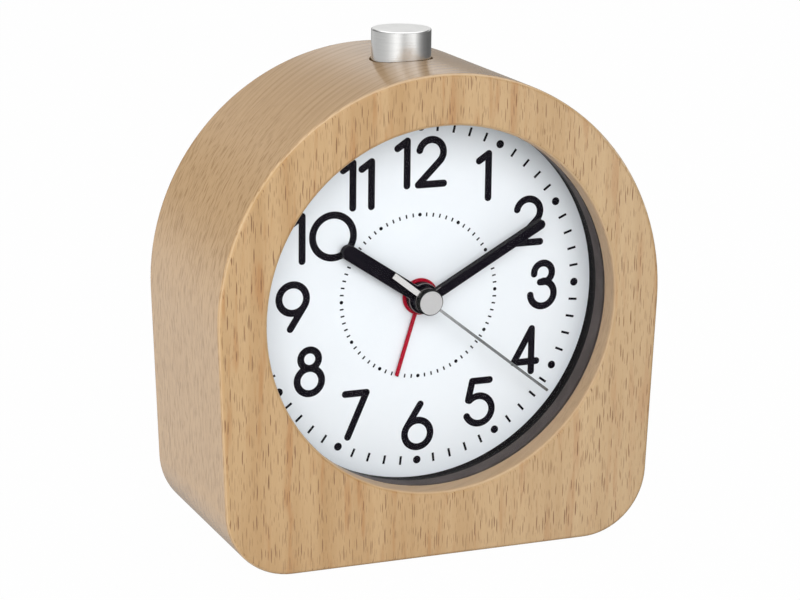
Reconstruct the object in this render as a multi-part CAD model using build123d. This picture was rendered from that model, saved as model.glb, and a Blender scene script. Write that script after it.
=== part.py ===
from build123d import *
import math
import os

# Arch-shaped wooden alarm clock, in millimetres, front towards -Y, standing on z = 0.
# Depths are measured from the front face of the case towards the back.
# Places across the clock are measured from the axis of the hands: x to the right, w upwards.

# Wooden case, built out from the round cavity that holds the works
SIDE_WALL = 6.9
BASE_WALL = 10.8
CROWN_RISE = 0.3
SIDE_LEAN = math.radians(2.3)
CORNER_RADIUS = 14.7
EDGE_ROUND = 0.9
LIP_DEPTH = 4.9
LIP_WIDTH = 3.7
REAR_RECESS = 3.0
REAR_MARGIN = 2.5

# Clearances
RUNNING_FIT = 0.05
PRESS_FIT = 0.02
LOOSE_FIT = 0.2
PAST = 1.0

# Lens, ring and dial
LENS_THICKNESS = 1.5
LENS_LAND = 1.0
RING_DEPTH = 9.9
RING_STEP = 0.2
RING_DRAFT = 0.4
SHADOW_GROOVE_STEP = 0.45
SHADOW_GROOVE_DEPTH = 2.8
DIAL_THICKNESS = 0.8
CARRIER_THICKNESS = 1.6
SHELL_WALL = 1.8

# Hands; each tip stops short of the window's edge
ALARM_ANGLE = 197.0
HOUR_ANGLE = 303.6
MINUTE_ANGLE = 60.8
SECOND_ANGLE = 128.3
ALARM_SHORT = 21.4
HOUR_SHORT = 17.4
MINUTE_SHORT = 8.4
SECOND_SHORT = 3.4
SECOND_TAIL = 10.4
ALARM_WIDTH = 0.8
HOUR_WIDTH = 3.3
MINUTE_WIDTH = 2.1
SECOND_WIDTH = 0.6
TAIL_WIDTH = 1.25
ALARM_HUB = 4.0
HOUR_HUB = 3.4
MINUTE_HUB = 2.8
SECOND_HUB = 2.8
ALARM_THICKNESS = 0.45
HAND_THICKNESS = 1.5
SECOND_THICKNESS = 0.4
HAND_EDGE = 0.12
HAND_GAP = 0.5
HUB_GAP = 0.2
CAP_RISE = 1.05
CAP_EDGE = 0.25

# Concentric arbor and tubes, from the middle outwards
ARBOR_RADIUS = 0.5
TUBE_WALL = 0.6
BUSH_WALL = 0.7

# Gear teeth
PRESSURE_ANGLE = math.radians(20)
ADDENDUM = 0.85
DEDENDUM = 1.15
TOOTH_FILL = 0.85

# Gear train, as tooth counts
SECOND_PINION_TEETH, THIRD_WHEEL_TEETH = 8, 60
THIRD_PINION_TEETH, CENTRE_WHEEL_TEETH = 8, 64
CANNON_PINION_TEETH, CHANGE_WHEEL_TEETH = 12, 36
CHANGE_PINION_TEETH, HOUR_WHEEL_TEETH = 10, 40
INTERMEDIATE_PINION_TEETH, SECOND_WHEEL_TEETH = 10, 60
ROTOR_PINION_TEETH, INTERMEDIATE_WHEEL_TEETH = 10, 50
ALARM_PINION_TEETH, ALARM_WHEEL_TEETH = 14, 40
TIME_PINION_TEETH = 12

# Gear centres: distance, and direction counted anticlockwise from the right
THIRD_DISTANCE, THIRD_DIRECTION = 12.0, math.radians(120)
CHANGE_DISTANCE, CHANGE_DIRECTION = 10.8, math.radians(0)
INTERMEDIATE_DISTANCE, INTERMEDIATE_DIRECTION = 11.9, math.radians(55)
ROTOR_DISTANCE, ROTOR_DIRECTION = 9.0, math.radians(70)
ALARM_SET_DISTANCE, ALARM_SET_DIRECTION = 12.15, math.radians(200)
TIME_SET_DIRECTION = math.radians(-25)

# Wheels and arbors
WHEEL_THICKNESS = 0.8
PLATE_ROOM = 0.3
PLANE_STEP = 1.4
TOOTH_OVERHANG = 0.15
PIVOT_RADIUS = 0.45
PIVOT_FLOOR = 0.35
PIVOT_END_PLAY = 0.1
PIVOT_BOSS_RADIUS = 1.5
PIVOT_BOSS_HEIGHT = 0.6
SET_SHAFT_RADIUS = 0.9
CHANGE_POST_RADIUS = 0.7

# Movement
MOVEMENT_SIDE_ROOM = 1.3
MOVEMENT_TOP_ROOM = 0.7
MOVEMENT_BOTTOM_ROOM = 0.25
MOVEMENT_CORNER = 3.0
MOVEMENT_WALL = 1.0
PLATE_THICKNESS = 1.2
MAGNET_RADIUS = 2.0
MAGNET_LENGTH = 2.0
STATOR_THICKNESS = 0.8
STATOR_BORE = 2.5
STATOR_BAR = 3.0
STATOR_LEFT = -16.0
STATOR_REACH = 5.6
STATOR_DROP = 4.0
STATOR_RISE = 8.4
STATOR_POST_RADIUS = 1.2
STATOR_POST_INSET = 2.0
COIL_LENGTH = 15.0
COIL_HEIGHT = 5.4
COIL_GAP = 1.5
CHEEK_THICKNESS = 0.8
CHEEK_RISE = 0.3
COIL_CORNER = 0.8
SLEEVE_WALL = 0.5
BOARD_THICKNESS = 1.0
CIRCUIT_WIDTH = 10.0
CIRCUIT_HEIGHT = 22.0
CIRCUIT_PLACE = 2.0
CHIP_RADIUS = 3.0
CHIP_HEIGHT = 1.2
CHIP_OFFSET = -5.0
CRYSTAL_RADIUS = 1.0
CRYSTAL_LENGTH = 6.0
CRYSTAL_OFFSET = 4.0

# Rear cover
COVER_THICKNESS = 2.5
REAR_ROOM = 6.3
DISH_FLOOR = 2.0
DISH_DEPTH = 5.0
DISH_INSET = 1.2
DISH_WALL = 1.5
KNOB_RADIUS = 5.5
KNOB_HEIGHT = 4.0
KNOB_LIFT = 0.4
KNOB_RIDGE_COUNT = 30
KNOB_RIDGE = 0.4
KNOB_FACE_STEP = 0.6
SOUND_HOLE = 0.8
SOUND_CIRCLE = 4.0
SOUND_HOLE_COUNT = 6
BUZZER_PLACE = 19.0
BUZZER_RADIUS = 10.0
BUZZER_HEIGHT = 4.0
BUZZER_CHAMBER = 1.5
BUZZER_LIP = 0.4

# Alarm switch
SWITCH_TRAVEL = 4.0
SWITCH_STEM_WIDTH = 3.6
SWITCH_STEM_HEIGHT = 2.6
SWITCH_THUMB_WIDTH = 6.0
SWITCH_THUMB_HEIGHT = 4.6
SWITCH_THUMB_DROP = 2.0
SWITCH_FLANGE = 0.9
SWITCH_FLANGE_MARGIN = 0.8
SWITCH_BODY_MARGIN = 4.0
SWITCH_BODY_SIDE = 1.5
SWITCH_GROOVE = 0.6
SWITCH_GROOVE_STEP = 1.6
SWITCH_GROOVE_DEPTH = 0.5

# Battery, one AA cell lying across the clock
CELL_RADIUS = 7.25
CELL_BODY = 49.2
CELL_NUB_RADIUS = 2.75
CELL_NUB = 1.3
CELL_EDGE = 0.6
CELL_SIDE_ROOM = 0.25
CELL_REAR_ROOM = 1.2
CONTACT_ROOM_POSITIVE = 1.1
CONTACT_ROOM_NEGATIVE = 2.4
CONTACT_THICKNESS = 0.5
CONTACT_HEIGHT = 9.0
CONTACT_WIDTH = 10.0
CONTACT_BUMP = 2.0
LEAF_WIDTH = 4.0
LEAF_FLAT = 1.6
TUB_GAP = 0.3
TUB_WALL = 1.2
TUB_CORNER = 2.8
DOOR_THICKNESS = 1.6
DOOR_LEDGE = 0.9
DOOR_RIB_COUNT = 5
DOOR_RIB_STEP = 2.0
DOOR_RIB_LENGTH = 14.0
DOOR_RIB_WIDTH = 0.7
DOOR_RIB_HEIGHT = 0.5

# Push button on the top, halfway back and a little left of the middle
BUTTON_RADIUS = 6.4
BUTTON_RISE = 6.1
BUTTON_SIDE = -1.1
BUTTON_GAP = 0.4
BUTTON_WALL = 1.2
BUTTON_EDGE = 0.35
BUTTON_TRAVEL = 2.2
PLUNGER_FLANGE_REACH = 8.2
PLUNGER_FLANGE_DEPTH = 11.2
PLUNGER_FLANGE_THICKNESS = 0.9
PLUNGER_PIN = 1.5
PORT_GAP = 0.8
TACT_WIDTH = 6.0
TACT_HEIGHT = 3.5
TACT_NUB = 0.8
TACT_NUB_RADIUS = 1.7
SPRING_RADIUS = 5.2
SPRING_WIRE = 0.6
SPRING_TURN_COUNT = 4
SPRING_SIDE_COUNT = 8
SWITCH_BOARD_MARGIN = 0.3
SWITCH_BOARD_WING = 3.0

# Screws
COVER_SCREW_RADIUS = 0.9
COVER_SCREW_HEAD = 2.0
COVER_SCREW_HEAD_HEIGHT = 1.2
COVER_SCREW_LENGTH = 9.0
COVER_SCREW_SLOT = 0.6
COVER_SCREW_SLOT_LENGTH = 2.4
COVER_SCREW_SLOT_DEPTH = 0.7
COVER_SCREW_INSET = 5.05
COVER_SCREW_DIRECTION = math.radians(39.7)
FOOT_SCREW_INSET = 14.0
FOOT_SCREW_HEIGHT = 12.0
PLATE_SCREW_RADIUS = 0.6
PLATE_SCREW_HEAD = 1.6
PLATE_SCREW_HEAD_HEIGHT = 0.8
PLATE_SCREW_SLOT = 0.5
PLATE_SCREW_SLOT_LENGTH = 2.2
PLATE_SCREW_SLOT_DEPTH = 0.4
PLATE_SCREW_INSET = 3.0

# Depths that follow from the sizes above
DIAL_FACE = LIP_DEPTH + RING_DEPTH
CARRIER_FACE = DIAL_FACE + DIAL_THICKNESS
PLATE_FACE = CARRIER_FACE + CARRIER_THICKNESS
TRAIN_FACE = PLATE_FACE + PLATE_THICKNESS

ALARM_BACK = DIAL_FACE - HAND_GAP
ALARM_FACE = ALARM_BACK - ALARM_THICKNESS
HOUR_BACK = ALARM_FACE - HAND_GAP
HOUR_FACE = HOUR_BACK - HAND_THICKNESS
MINUTE_BACK = HOUR_FACE - HAND_GAP
MINUTE_FACE = MINUTE_BACK - HAND_THICKNESS
SECOND_BACK = MINUTE_FACE - HAND_GAP
SECOND_FACE = SECOND_BACK - SECOND_THICKNESS

ALARM_PLANE = TRAIN_FACE + PLATE_ROOM
HOUR_PLANE = ALARM_PLANE + PLANE_STEP
CHANGE_PLANE = HOUR_PLANE + PLANE_STEP
CENTRE_PLANE = CHANGE_PLANE + PLANE_STEP
THIRD_PLANE = CENTRE_PLANE + PLANE_STEP
SECOND_PLANE = THIRD_PLANE + PLANE_STEP
INTERMEDIATE_PLANE = SECOND_PLANE + PLANE_STEP
MAGNET_PLANE = INTERMEDIATE_PLANE + PLANE_STEP
STATOR_FACE = MAGNET_PLANE + (MAGNET_LENGTH - STATOR_THICKNESS) / 2
STATOR_BACK = STATOR_FACE + STATOR_THICKNESS
COIL_AXIS_DEPTH = STATOR_FACE + STATOR_THICKNESS / 2
BOX_FLOOR = COIL_AXIS_DEPTH + COIL_HEIGHT / 2
BOX_BACK = BOX_FLOOR + MOVEMENT_WALL
CIRCUIT_FACE = BOX_FLOOR - BOARD_THICKNESS
PIVOT_FRONT = PLATE_FACE + PIVOT_FLOOR + PIVOT_END_PLAY
PIVOT_BACK = BOX_BACK - PIVOT_FLOOR - PIVOT_END_PLAY

DISH_FACE = BOX_BACK + REAR_ROOM
DISH_BACK = DISH_FACE + DISH_FLOOR
COVER_BACK = DISH_BACK + DISH_DEPTH
COVER_FACE = COVER_BACK - COVER_THICKNESS
CASE_DEPTH = COVER_FACE + REAR_RECESS
KNOB_FACE = DISH_BACK + KNOB_LIFT
CELL_AXIS_DEPTH = DISH_BACK - DOOR_THICKNESS - CELL_RADIUS - CELL_REAR_ROOM
TUB_FACE = CELL_AXIS_DEPTH - CELL_RADIUS - CELL_SIDE_ROOM
SWITCH_SEAT = DISH_FACE - LOOSE_FIT - SWITCH_FLANGE - LOOSE_FIT
BUTTON_DEPTH = CASE_DEPTH / 2

# Tooth sizes that follow from the gear centres
SECOND_MODULE = 2 * THIRD_DISTANCE / (SECOND_PINION_TEETH + THIRD_WHEEL_TEETH)
THIRD_MODULE = 2 * THIRD_DISTANCE / (THIRD_PINION_TEETH + CENTRE_WHEEL_TEETH)
CHANGE_MODULE = 2 * CHANGE_DISTANCE / (CANNON_PINION_TEETH + CHANGE_WHEEL_TEETH)
HOUR_MODULE = 2 * CHANGE_DISTANCE / (CHANGE_PINION_TEETH + HOUR_WHEEL_TEETH)
INTERMEDIATE_MODULE = 2 * INTERMEDIATE_DISTANCE / (INTERMEDIATE_PINION_TEETH + SECOND_WHEEL_TEETH)
ROTOR_MODULE = 2 * ROTOR_DISTANCE / (ROTOR_PINION_TEETH + INTERMEDIATE_WHEEL_TEETH)
ALARM_MODULE = 2 * ALARM_SET_DISTANCE / (ALARM_PINION_TEETH + ALARM_WHEEL_TEETH)

# Places that follow from the sizes above, from the axis of the hands
AXIS = (0.0, 0.0)


def away(place, distance, direction):
    """Place at a distance and direction from another place."""
    return (place[0] + distance * math.cos(direction), place[1] + distance * math.sin(direction))


def tip_radius(teeth, module):
    """Radius of a gear over its teeth."""
    return module * (teeth / 2 + ADDENDUM)


THIRD = away(AXIS, THIRD_DISTANCE, THIRD_DIRECTION)
CHANGE = away(AXIS, CHANGE_DISTANCE, CHANGE_DIRECTION)
INTERMEDIATE = away(AXIS, INTERMEDIATE_DISTANCE, INTERMEDIATE_DIRECTION)
ROTOR = away(INTERMEDIATE, ROTOR_DISTANCE, ROTOR_DIRECTION)
ALARM_SET = away(AXIS, ALARM_SET_DISTANCE, ALARM_SET_DIRECTION)
TIME_SET_DISTANCE = CHANGE_MODULE * (TIME_PINION_TEETH + CHANGE_WHEEL_TEETH) / 2
TIME_SET = away(CHANGE, TIME_SET_DISTANCE, TIME_SET_DIRECTION)
SWITCH = ((ALARM_SET[0] + TIME_SET[0]) / 2, (ALARM_SET[1] + TIME_SET[1]) / 2)
BUZZER = (0.0, BUZZER_PLACE)

STATOR_RIGHT = ROTOR[0] + STATOR_REACH
STATOR_BOTTOM = ROTOR[1] - STATOR_DROP
STATOR_TOP = ROTOR[1] + STATOR_RISE
STATOR_POSTS = tuple(
    (x, STATOR_BOTTOM + STATOR_POST_INSET)
    for x in (STATOR_LEFT + STATOR_POST_INSET, STATOR_RIGHT - STATOR_POST_INSET)
)
COIL_MIDDLE = (STATOR_LEFT + STATOR_BAR + COIL_GAP + COIL_LENGTH / 2, STATOR_TOP - STATOR_BAR / 2)

LARGEST_WHEEL = max(
    tip_radius(CENTRE_WHEEL_TEETH, THIRD_MODULE),
    tip_radius(SECOND_WHEEL_TEETH, INTERMEDIATE_MODULE),
    tip_radius(ALARM_WHEEL_TEETH, ALARM_MODULE),
)
TIME_PINION_SIDE = TIME_SET[0] + tip_radius(TIME_PINION_TEETH, CHANGE_MODULE)
MOVEMENT_HALF_WIDTH = TIME_PINION_SIDE + MOVEMENT_SIDE_ROOM + MOVEMENT_WALL
MOVEMENT_TOP = COIL_MIDDLE[1] + COIL_HEIGHT / 2 + MOVEMENT_TOP_ROOM + MOVEMENT_WALL
MOVEMENT_BOTTOM = -(LARGEST_WHEEL + MOVEMENT_BOTTOM_ROOM + MOVEMENT_WALL)
CIRCUIT = (MOVEMENT_WALL + CIRCUIT_WIDTH / 2 + LOOSE_FIT - MOVEMENT_HALF_WIDTH, CIRCUIT_PLACE)
PLATE_SCREW_X = MOVEMENT_HALF_WIDTH - PLATE_SCREW_INSET
PLATE_SCREW_HEIGHTS = (MOVEMENT_BOTTOM + PLATE_SCREW_INSET, MOVEMENT_TOP - PLATE_SCREW_INSET)
PLATE_SCREWS = tuple((side * PLATE_SCREW_X, w) for w in PLATE_SCREW_HEIGHTS for side in (-1, 1))

CELL_LEFT = -CELL_BODY / 2
CELL_RIGHT = CELL_BODY / 2
TUB_LEFT = CELL_LEFT - CONTACT_ROOM_NEGATIVE
TUB_RIGHT = CELL_RIGHT + CELL_NUB + CONTACT_ROOM_POSITIVE
TUB_WIDTH = TUB_RIGHT - TUB_LEFT
TUB_HEIGHT = 2 * (CELL_RADIUS + CELL_SIDE_ROOM)
CELL_PLACE = MOVEMENT_BOTTOM - TUB_GAP - TUB_WALL - TUB_HEIGHT / 2
TUB_MIDDLE = ((TUB_LEFT + TUB_RIGHT) / 2, CELL_PLACE)
DOOR_WIDTH = TUB_WIDTH + 2 * DOOR_LEDGE
DOOR_HEIGHT = TUB_HEIGHT + 2 * DOOR_LEDGE
SLOT_WIDTH = SWITCH_STEM_WIDTH + SWITCH_TRAVEL + 2 * LOOSE_FIT
SLOT_HEIGHT = SWITCH_STEM_HEIGHT + 2 * LOOSE_FIT

# Radii that follow: the shell goes round the movement and the battery tub
TUB_REACH = math.hypot(TUB_WIDTH / 2 + TUB_WALL, TUB_HEIGHT / 2 + TUB_WALL - CELL_PLACE)
MOVEMENT_REACH = math.hypot(MOVEMENT_HALF_WIDTH, MOVEMENT_TOP)
SHELL_BORE = max(TUB_REACH, MOVEMENT_REACH)
SHELL_RADIUS = SHELL_BORE + SHELL_WALL
CAVITY_RADIUS = SHELL_RADIUS + LOOSE_FIT
WINDOW_RADIUS = CAVITY_RADIUS - LIP_WIDTH
LENS_RADIUS = SHELL_RADIUS - LENS_LAND
RING_FRONT_RADIUS = WINDOW_RADIUS + RING_STEP
RING_BACK_RADIUS = RING_FRONT_RADIUS + RING_DRAFT
SHADOW_GROOVE_RADIUS = RING_BACK_RADIUS + SHADOW_GROOVE_STEP
DISH_RADIUS = CAVITY_RADIUS - DISH_INSET - DISH_WALL

MINUTE_BORE = ARBOR_RADIUS + RUNNING_FIT
MINUTE_TUBE = MINUTE_BORE + TUBE_WALL
HOUR_BORE = MINUTE_TUBE + RUNNING_FIT
HOUR_TUBE = HOUR_BORE + TUBE_WALL
ALARM_BORE = HOUR_TUBE + RUNNING_FIT
ALARM_TUBE = ALARM_BORE + TUBE_WALL
BUSH_BORE = ALARM_TUBE + RUNNING_FIT
BUSH_RADIUS = BUSH_BORE + BUSH_WALL
DIAL_HOLE = BUSH_RADIUS + LOOSE_FIT

# Heights above the table and the size of the case
HANDS_HEIGHT = CAVITY_RADIUS + BASE_WALL
ARCH_RADIUS = CAVITY_RADIUS + SIDE_WALL
CROWN = (0.0, CROWN_RISE)
CASE_TOP = HANDS_HEIGHT + CROWN_RISE + ARCH_RADIUS
BUTTON_TOP = CASE_TOP + BUTTON_RISE
SKIRT_BOTTOM = HANDS_HEIGHT + CAVITY_RADIUS + BUTTON_TRAVEL + LOOSE_FIT
FLANGE_CORNER = PLUNGER_FLANGE_REACH + abs(BUTTON_SIDE)
FLANGE_TOP = HANDS_HEIGHT + math.sqrt(CAVITY_RADIUS**2 - FLANGE_CORNER**2) - RUNNING_FIT
FLANGE_BOTTOM = FLANGE_TOP - PLUNGER_FLANGE_THICKNESS
BOARD_BOTTOM = HANDS_HEIGHT + MOVEMENT_TOP
BOARD_TOP = BOARD_BOTTOM + BOARD_THICKNESS
TACT_TOP = BOARD_TOP + TACT_HEIGHT + TACT_NUB
PIN_BOTTOM = TACT_TOP + BUTTON_TRAVEL + LOOSE_FIT

UPPER_SCREW = away(CROWN, ARCH_RADIUS - COVER_SCREW_INSET, COVER_SCREW_DIRECTION)
FOOT_SCREW = (ARCH_RADIUS - FOOT_SCREW_INSET, FOOT_SCREW_HEIGHT - HANDS_HEIGHT)
COVER_SCREWS = tuple((side * x, w) for x, w in (FOOT_SCREW, UPPER_SCREW) for side in (-1, 1))


def at(depth):
    """Coordinate of a depth behind the front face."""
    return depth - CASE_DEPTH / 2


def prism(face, near, far):
    """Face drawn across the clock, carried straight back from one depth to another."""
    start = Plane((0, at(near), HANDS_HEIGHT), x_dir=(1, 0, 0), z_dir=(0, -1, 0))
    return extrude(start * face, amount=near - far)


def rod(place, radius, near, far):
    """Round bar pointing front to back."""
    return prism(Pos(*place) * Circle(radius), near, far)


def block(place, width, height, near, far):
    """Square block centred on a place."""
    return prism(Pos(*place) * Rectangle(width, height), near, far)


def rounded(place, width, height, corner):
    """Face with round corners, centred on a place."""
    return Pos(*place) * RectangleRounded(width, height, corner)


def turned(outline, place=AXIS):
    """Shape turned about a front-to-back axis, from corners given as radius and depth."""
    lathe = Plane((place[0], at(0), HANDS_HEIGHT + place[1]), x_dir=(1, 0, 0), z_dir=(0, 0, 1))
    face = lathe * make_face(Polyline(*outline, close=True))
    return revolve(face, Axis((place[0], 0, HANDS_HEIGHT + place[1]), (0, 1, 0)))


def upright(radius, low, high):
    """Round bar standing on the axis of the push button."""
    bar = Cylinder(radius, high - low, align=(Align.CENTER, Align.CENTER, Align.MIN))
    return Pos(BUTTON_SIDE, at(BUTTON_DEPTH), low) * bar


def standing(width, depth, low, high):
    """Square block standing on the axis of the push button."""
    bar = Box(width, depth, high - low, align=(Align.CENTER, Align.CENTER, Align.MIN))
    return Pos(BUTTON_SIDE, at(BUTTON_DEPTH), low) * bar


def lying(radius, left, right):
    """Round bar lying across the clock on the axis of the battery."""
    start = Plane((left, at(CELL_AXIS_DEPTH), HANDS_HEIGHT + CELL_PLACE), z_dir=(1, 0, 0))
    return start * Cylinder(radius, right - left, align=(Align.CENTER, Align.CENTER, Align.MIN))


def arch(margin):
    """Front outline of the case, moved in by a margin."""
    radius = ARCH_RADIUS - margin
    crown = CROWN[1]
    base = margin - HANDS_HEIGHT
    side_x = radius * math.cos(SIDE_LEAN)
    side_w = crown - radius * math.sin(SIDE_LEAN)
    foot_x = side_x - (side_w - base) * math.tan(SIDE_LEAN)
    outline = [
        ThreePointArc((-side_x, side_w), (0, crown + radius), (side_x, side_w)),
        Polyline((side_x, side_w), (foot_x, base), (-foot_x, base), (-side_x, side_w)),
    ]
    face = make_face(outline)
    return fillet(face.vertices().sort_by(Axis.Y)[:2], CORNER_RADIUS - margin)


def gear(teeth, module, first_tooth):
    """Gear outline with one tooth centred on the direction first_tooth."""
    pitch = module * teeth / 2
    tip = pitch + ADDENDUM * module
    root = pitch - DEDENDUM * module
    base = pitch * math.cos(PRESSURE_ANGLE)

    def involute(radius):
        angle = math.acos(min(1.0, base / radius))
        return math.tan(angle) - angle

    def half_tooth(radius):
        return TOOTH_FILL * math.pi / (2 * teeth) + involute(pitch) - involute(radius)

    corners = []
    for tooth in range(teeth):
        middle = first_tooth + tooth * 2 * math.pi / teeth
        for radius, side in ((root, -1), (tip, -1), (tip, 1), (root, 1)):
            angle = middle + side * half_tooth(radius)
            corners.append((radius * math.cos(angle), radius * math.sin(angle)))
    return make_face(Polyline(*corners, close=True))


def wheel(place, teeth, module, plane, first_tooth):
    """Toothed wheel of the train."""
    return prism(Pos(*place) * gear(teeth, module, first_tooth), plane, plane + WHEEL_THICKNESS)


def pinion(place, teeth, module, plane, far, first_tooth):
    """Pinion that meets the wheel in a plane and reaches back to a depth."""
    return prism(Pos(*place) * gear(teeth, module, first_tooth), plane - TOOTH_OVERHANG, far)


def facing_gap(direction, teeth):
    """First tooth direction that leaves a gap facing a direction."""
    return direction + math.pi / teeth


def hand(length, width, hub, bore, angle, face_depth, back_depth, hub_back):
    """Straight hand with a round tip and a fine bevel, on a round hub."""
    straight = length - width / 2
    bar = Pos(0, straight / 2) * Rectangle(width, straight)
    blade = bar + Pos(0, straight) * Circle(width / 2) + Circle(hub)
    body = prism(Rot(0, 0, -angle) * blade, face_depth, back_depth)
    body = chamfer(body.faces().sort_by(Axis.Y)[0].edges(), HAND_EDGE)
    if hub_back > back_depth:
        body += rod(AXIS, hub, back_depth, hub_back)
    return body - rod(AXIS, bore, face_depth - PAST, hub_back + PAST)


# Case
def wooden_case():
    case = prism(arch(0), 0, CASE_DEPTH)
    ends = case.faces().sort_by(Axis.Y)
    case = fillet(ends[0].edges() + ends[-1].edges(), EDGE_ROUND)
    case -= rod(AXIS, WINDOW_RADIUS, -PAST, LIP_DEPTH + PAST)
    case = fillet(case.faces().sort_by(Axis.Y)[0].inner_wires()[0].edges(), EDGE_ROUND)
    case -= rod(AXIS, CAVITY_RADIUS, LIP_DEPTH, CASE_DEPTH + PAST)
    case -= prism(arch(REAR_MARGIN), COVER_FACE, CASE_DEPTH + PAST)
    case -= upright(BUTTON_RADIUS + BUTTON_GAP, HANDS_HEIGHT, BUTTON_TOP)
    screw_tip = COVER_BACK - COVER_SCREW_LENGTH
    for place in COVER_SCREWS:
        case -= rod(place, COVER_SCREW_RADIUS + RUNNING_FIT, screw_tip - LOOSE_FIT, COVER_BACK)
    return case


# Lens, ring, dial and shell
def lens():
    return rod(AXIS, LENS_RADIUS, LIP_DEPTH, LIP_DEPTH + LENS_THICKNESS)


def bezel_ring():
    lens_back = LIP_DEPTH + LENS_THICKNESS
    groove = DIAL_FACE - SHADOW_GROOVE_DEPTH
    return turned(
        [
            (LENS_RADIUS + PRESS_FIT, LIP_DEPTH),
            (SHELL_RADIUS, LIP_DEPTH),
            (SHELL_RADIUS, DIAL_FACE),
            (SHADOW_GROOVE_RADIUS, DIAL_FACE),
            (SHADOW_GROOVE_RADIUS, groove),
            (RING_BACK_RADIUS, groove),
            (RING_FRONT_RADIUS, lens_back),
            (LENS_RADIUS + PRESS_FIT, lens_back),
        ]
    )


def dial():
    plate = rod(AXIS, SHELL_RADIUS, DIAL_FACE, CARRIER_FACE)
    return plate - rod(AXIS, DIAL_HOLE, DIAL_FACE - PAST, CARRIER_FACE + PAST)


def dial_carrier():
    carrier = rod(AXIS, SHELL_RADIUS, CARRIER_FACE, PLATE_FACE)
    carrier -= rod(AXIS, DIAL_HOLE, CARRIER_FACE - PAST, PLATE_FACE + PAST)
    for place in PLATE_SCREWS:
        carrier -= rod(place, PLATE_SCREW_RADIUS + RUNNING_FIT, CARRIER_FACE, PLATE_FACE + PAST)
    return carrier


def module_shell():
    shell = rod(AXIS, SHELL_RADIUS, PLATE_FACE, DISH_FACE)
    shell -= rod(AXIS, SHELL_BORE, PLATE_FACE - PAST, DISH_FACE + PAST)
    port_width = 2 * (PLUNGER_FLANGE_REACH + PORT_GAP)
    port_back = BUTTON_DEPTH + PLUNGER_FLANGE_DEPTH / 2 + PORT_GAP
    port = (BUTTON_SIDE, SHELL_RADIUS)
    return shell - block(port, port_width, SHELL_RADIUS, PLATE_FACE - PAST, port_back)


# Movement plates
def movement_outline(margin):
    height = MOVEMENT_TOP - MOVEMENT_BOTTOM - 2 * margin
    width = 2 * (MOVEMENT_HALF_WIDTH - margin)
    middle = (MOVEMENT_TOP + MOVEMENT_BOTTOM) / 2
    return rounded((0, middle), width, height, MOVEMENT_CORNER - margin)


def front_plate():
    plate = prism(movement_outline(0), PLATE_FACE, TRAIN_FACE)
    plate += rod(AXIS, BUSH_RADIUS, ALARM_BACK + HUB_GAP, PLATE_FACE)
    plate -= rod(AXIS, BUSH_BORE, ALARM_BACK, TRAIN_FACE + PAST)
    plate += rod(CHANGE, CHANGE_POST_RADIUS, PLATE_FACE, CHANGE_PLANE + WHEEL_THICKNESS)
    for place in (THIRD, INTERMEDIATE, ROTOR):
        plate -= rod(place, PIVOT_RADIUS + RUNNING_FIT, PLATE_FACE + PIVOT_FLOOR, TRAIN_FACE + PAST)
    for place in (ALARM_SET, TIME_SET):
        plate -= rod(place, SET_SHAFT_RADIUS + RUNNING_FIT, PLATE_FACE + PIVOT_FLOOR, TRAIN_FACE + PAST)
    for place in PLATE_SCREWS:
        plate -= rod(place, PLATE_SCREW_RADIUS + RUNNING_FIT, PLATE_FACE - PAST, TRAIN_FACE + PAST)
    return plate


def movement_box():
    box = prism(movement_outline(0), TRAIN_FACE, BOX_BACK)
    box -= prism(movement_outline(MOVEMENT_WALL), TRAIN_FACE - PAST, BOX_FLOOR)
    for place in STATOR_POSTS:
        box += rod(place, STATOR_POST_RADIUS, STATOR_BACK, BOX_FLOOR)
    pivots = [(AXIS, ARBOR_RADIUS)] + [(place, PIVOT_RADIUS) for place in (THIRD, INTERMEDIATE, ROTOR)]
    for place, radius in pivots:
        box += rod(place, PIVOT_BOSS_RADIUS, BOX_FLOOR - PIVOT_BOSS_HEIGHT, BOX_FLOOR)
        box -= rod(place, radius + RUNNING_FIT, BOX_FLOOR - PAST, BOX_BACK - PIVOT_FLOOR)
    for place in (ALARM_SET, TIME_SET):
        box -= rod(place, SET_SHAFT_RADIUS + RUNNING_FIT, BOX_FLOOR - PAST, BOX_BACK + PAST)
    return box


def movement_screws():
    screws = []
    head_back = TRAIN_FACE + PLATE_SCREW_HEAD_HEIGHT
    slot_floor = head_back - PLATE_SCREW_SLOT_DEPTH
    for place in PLATE_SCREWS:
        screw = rod(place, PLATE_SCREW_HEAD, TRAIN_FACE, head_back)
        screw += rod(place, PLATE_SCREW_RADIUS, CARRIER_FACE + LOOSE_FIT, TRAIN_FACE)
        screw -= block(place, PLATE_SCREW_SLOT_LENGTH, PLATE_SCREW_SLOT, slot_floor, head_back + PAST)
        screws.append(screw)
    return screws


# Wheels of the train
def seconds_wheel():
    body = rod(AXIS, ARBOR_RADIUS, SECOND_FACE, PIVOT_BACK)
    body += wheel(AXIS, SECOND_WHEEL_TEETH, INTERMEDIATE_MODULE, SECOND_PLANE, INTERMEDIATE_DIRECTION)
    gap = facing_gap(THIRD_DIRECTION, SECOND_PINION_TEETH)
    return body + pinion(AXIS, SECOND_PINION_TEETH, SECOND_MODULE, THIRD_PLANE, SECOND_PLANE, gap)


def minute_wheel():
    body = rod(AXIS, MINUTE_TUBE, MINUTE_FACE + HAND_EDGE, CENTRE_PLANE + WHEEL_THICKNESS)
    body += wheel(AXIS, CENTRE_WHEEL_TEETH, THIRD_MODULE, CENTRE_PLANE, THIRD_DIRECTION)
    gap = facing_gap(CHANGE_DIRECTION, CANNON_PINION_TEETH)
    body += pinion(AXIS, CANNON_PINION_TEETH, CHANGE_MODULE, CHANGE_PLANE, CENTRE_PLANE, gap)
    return body - rod(AXIS, MINUTE_BORE, MINUTE_FACE - PAST, BOX_BACK)


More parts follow.
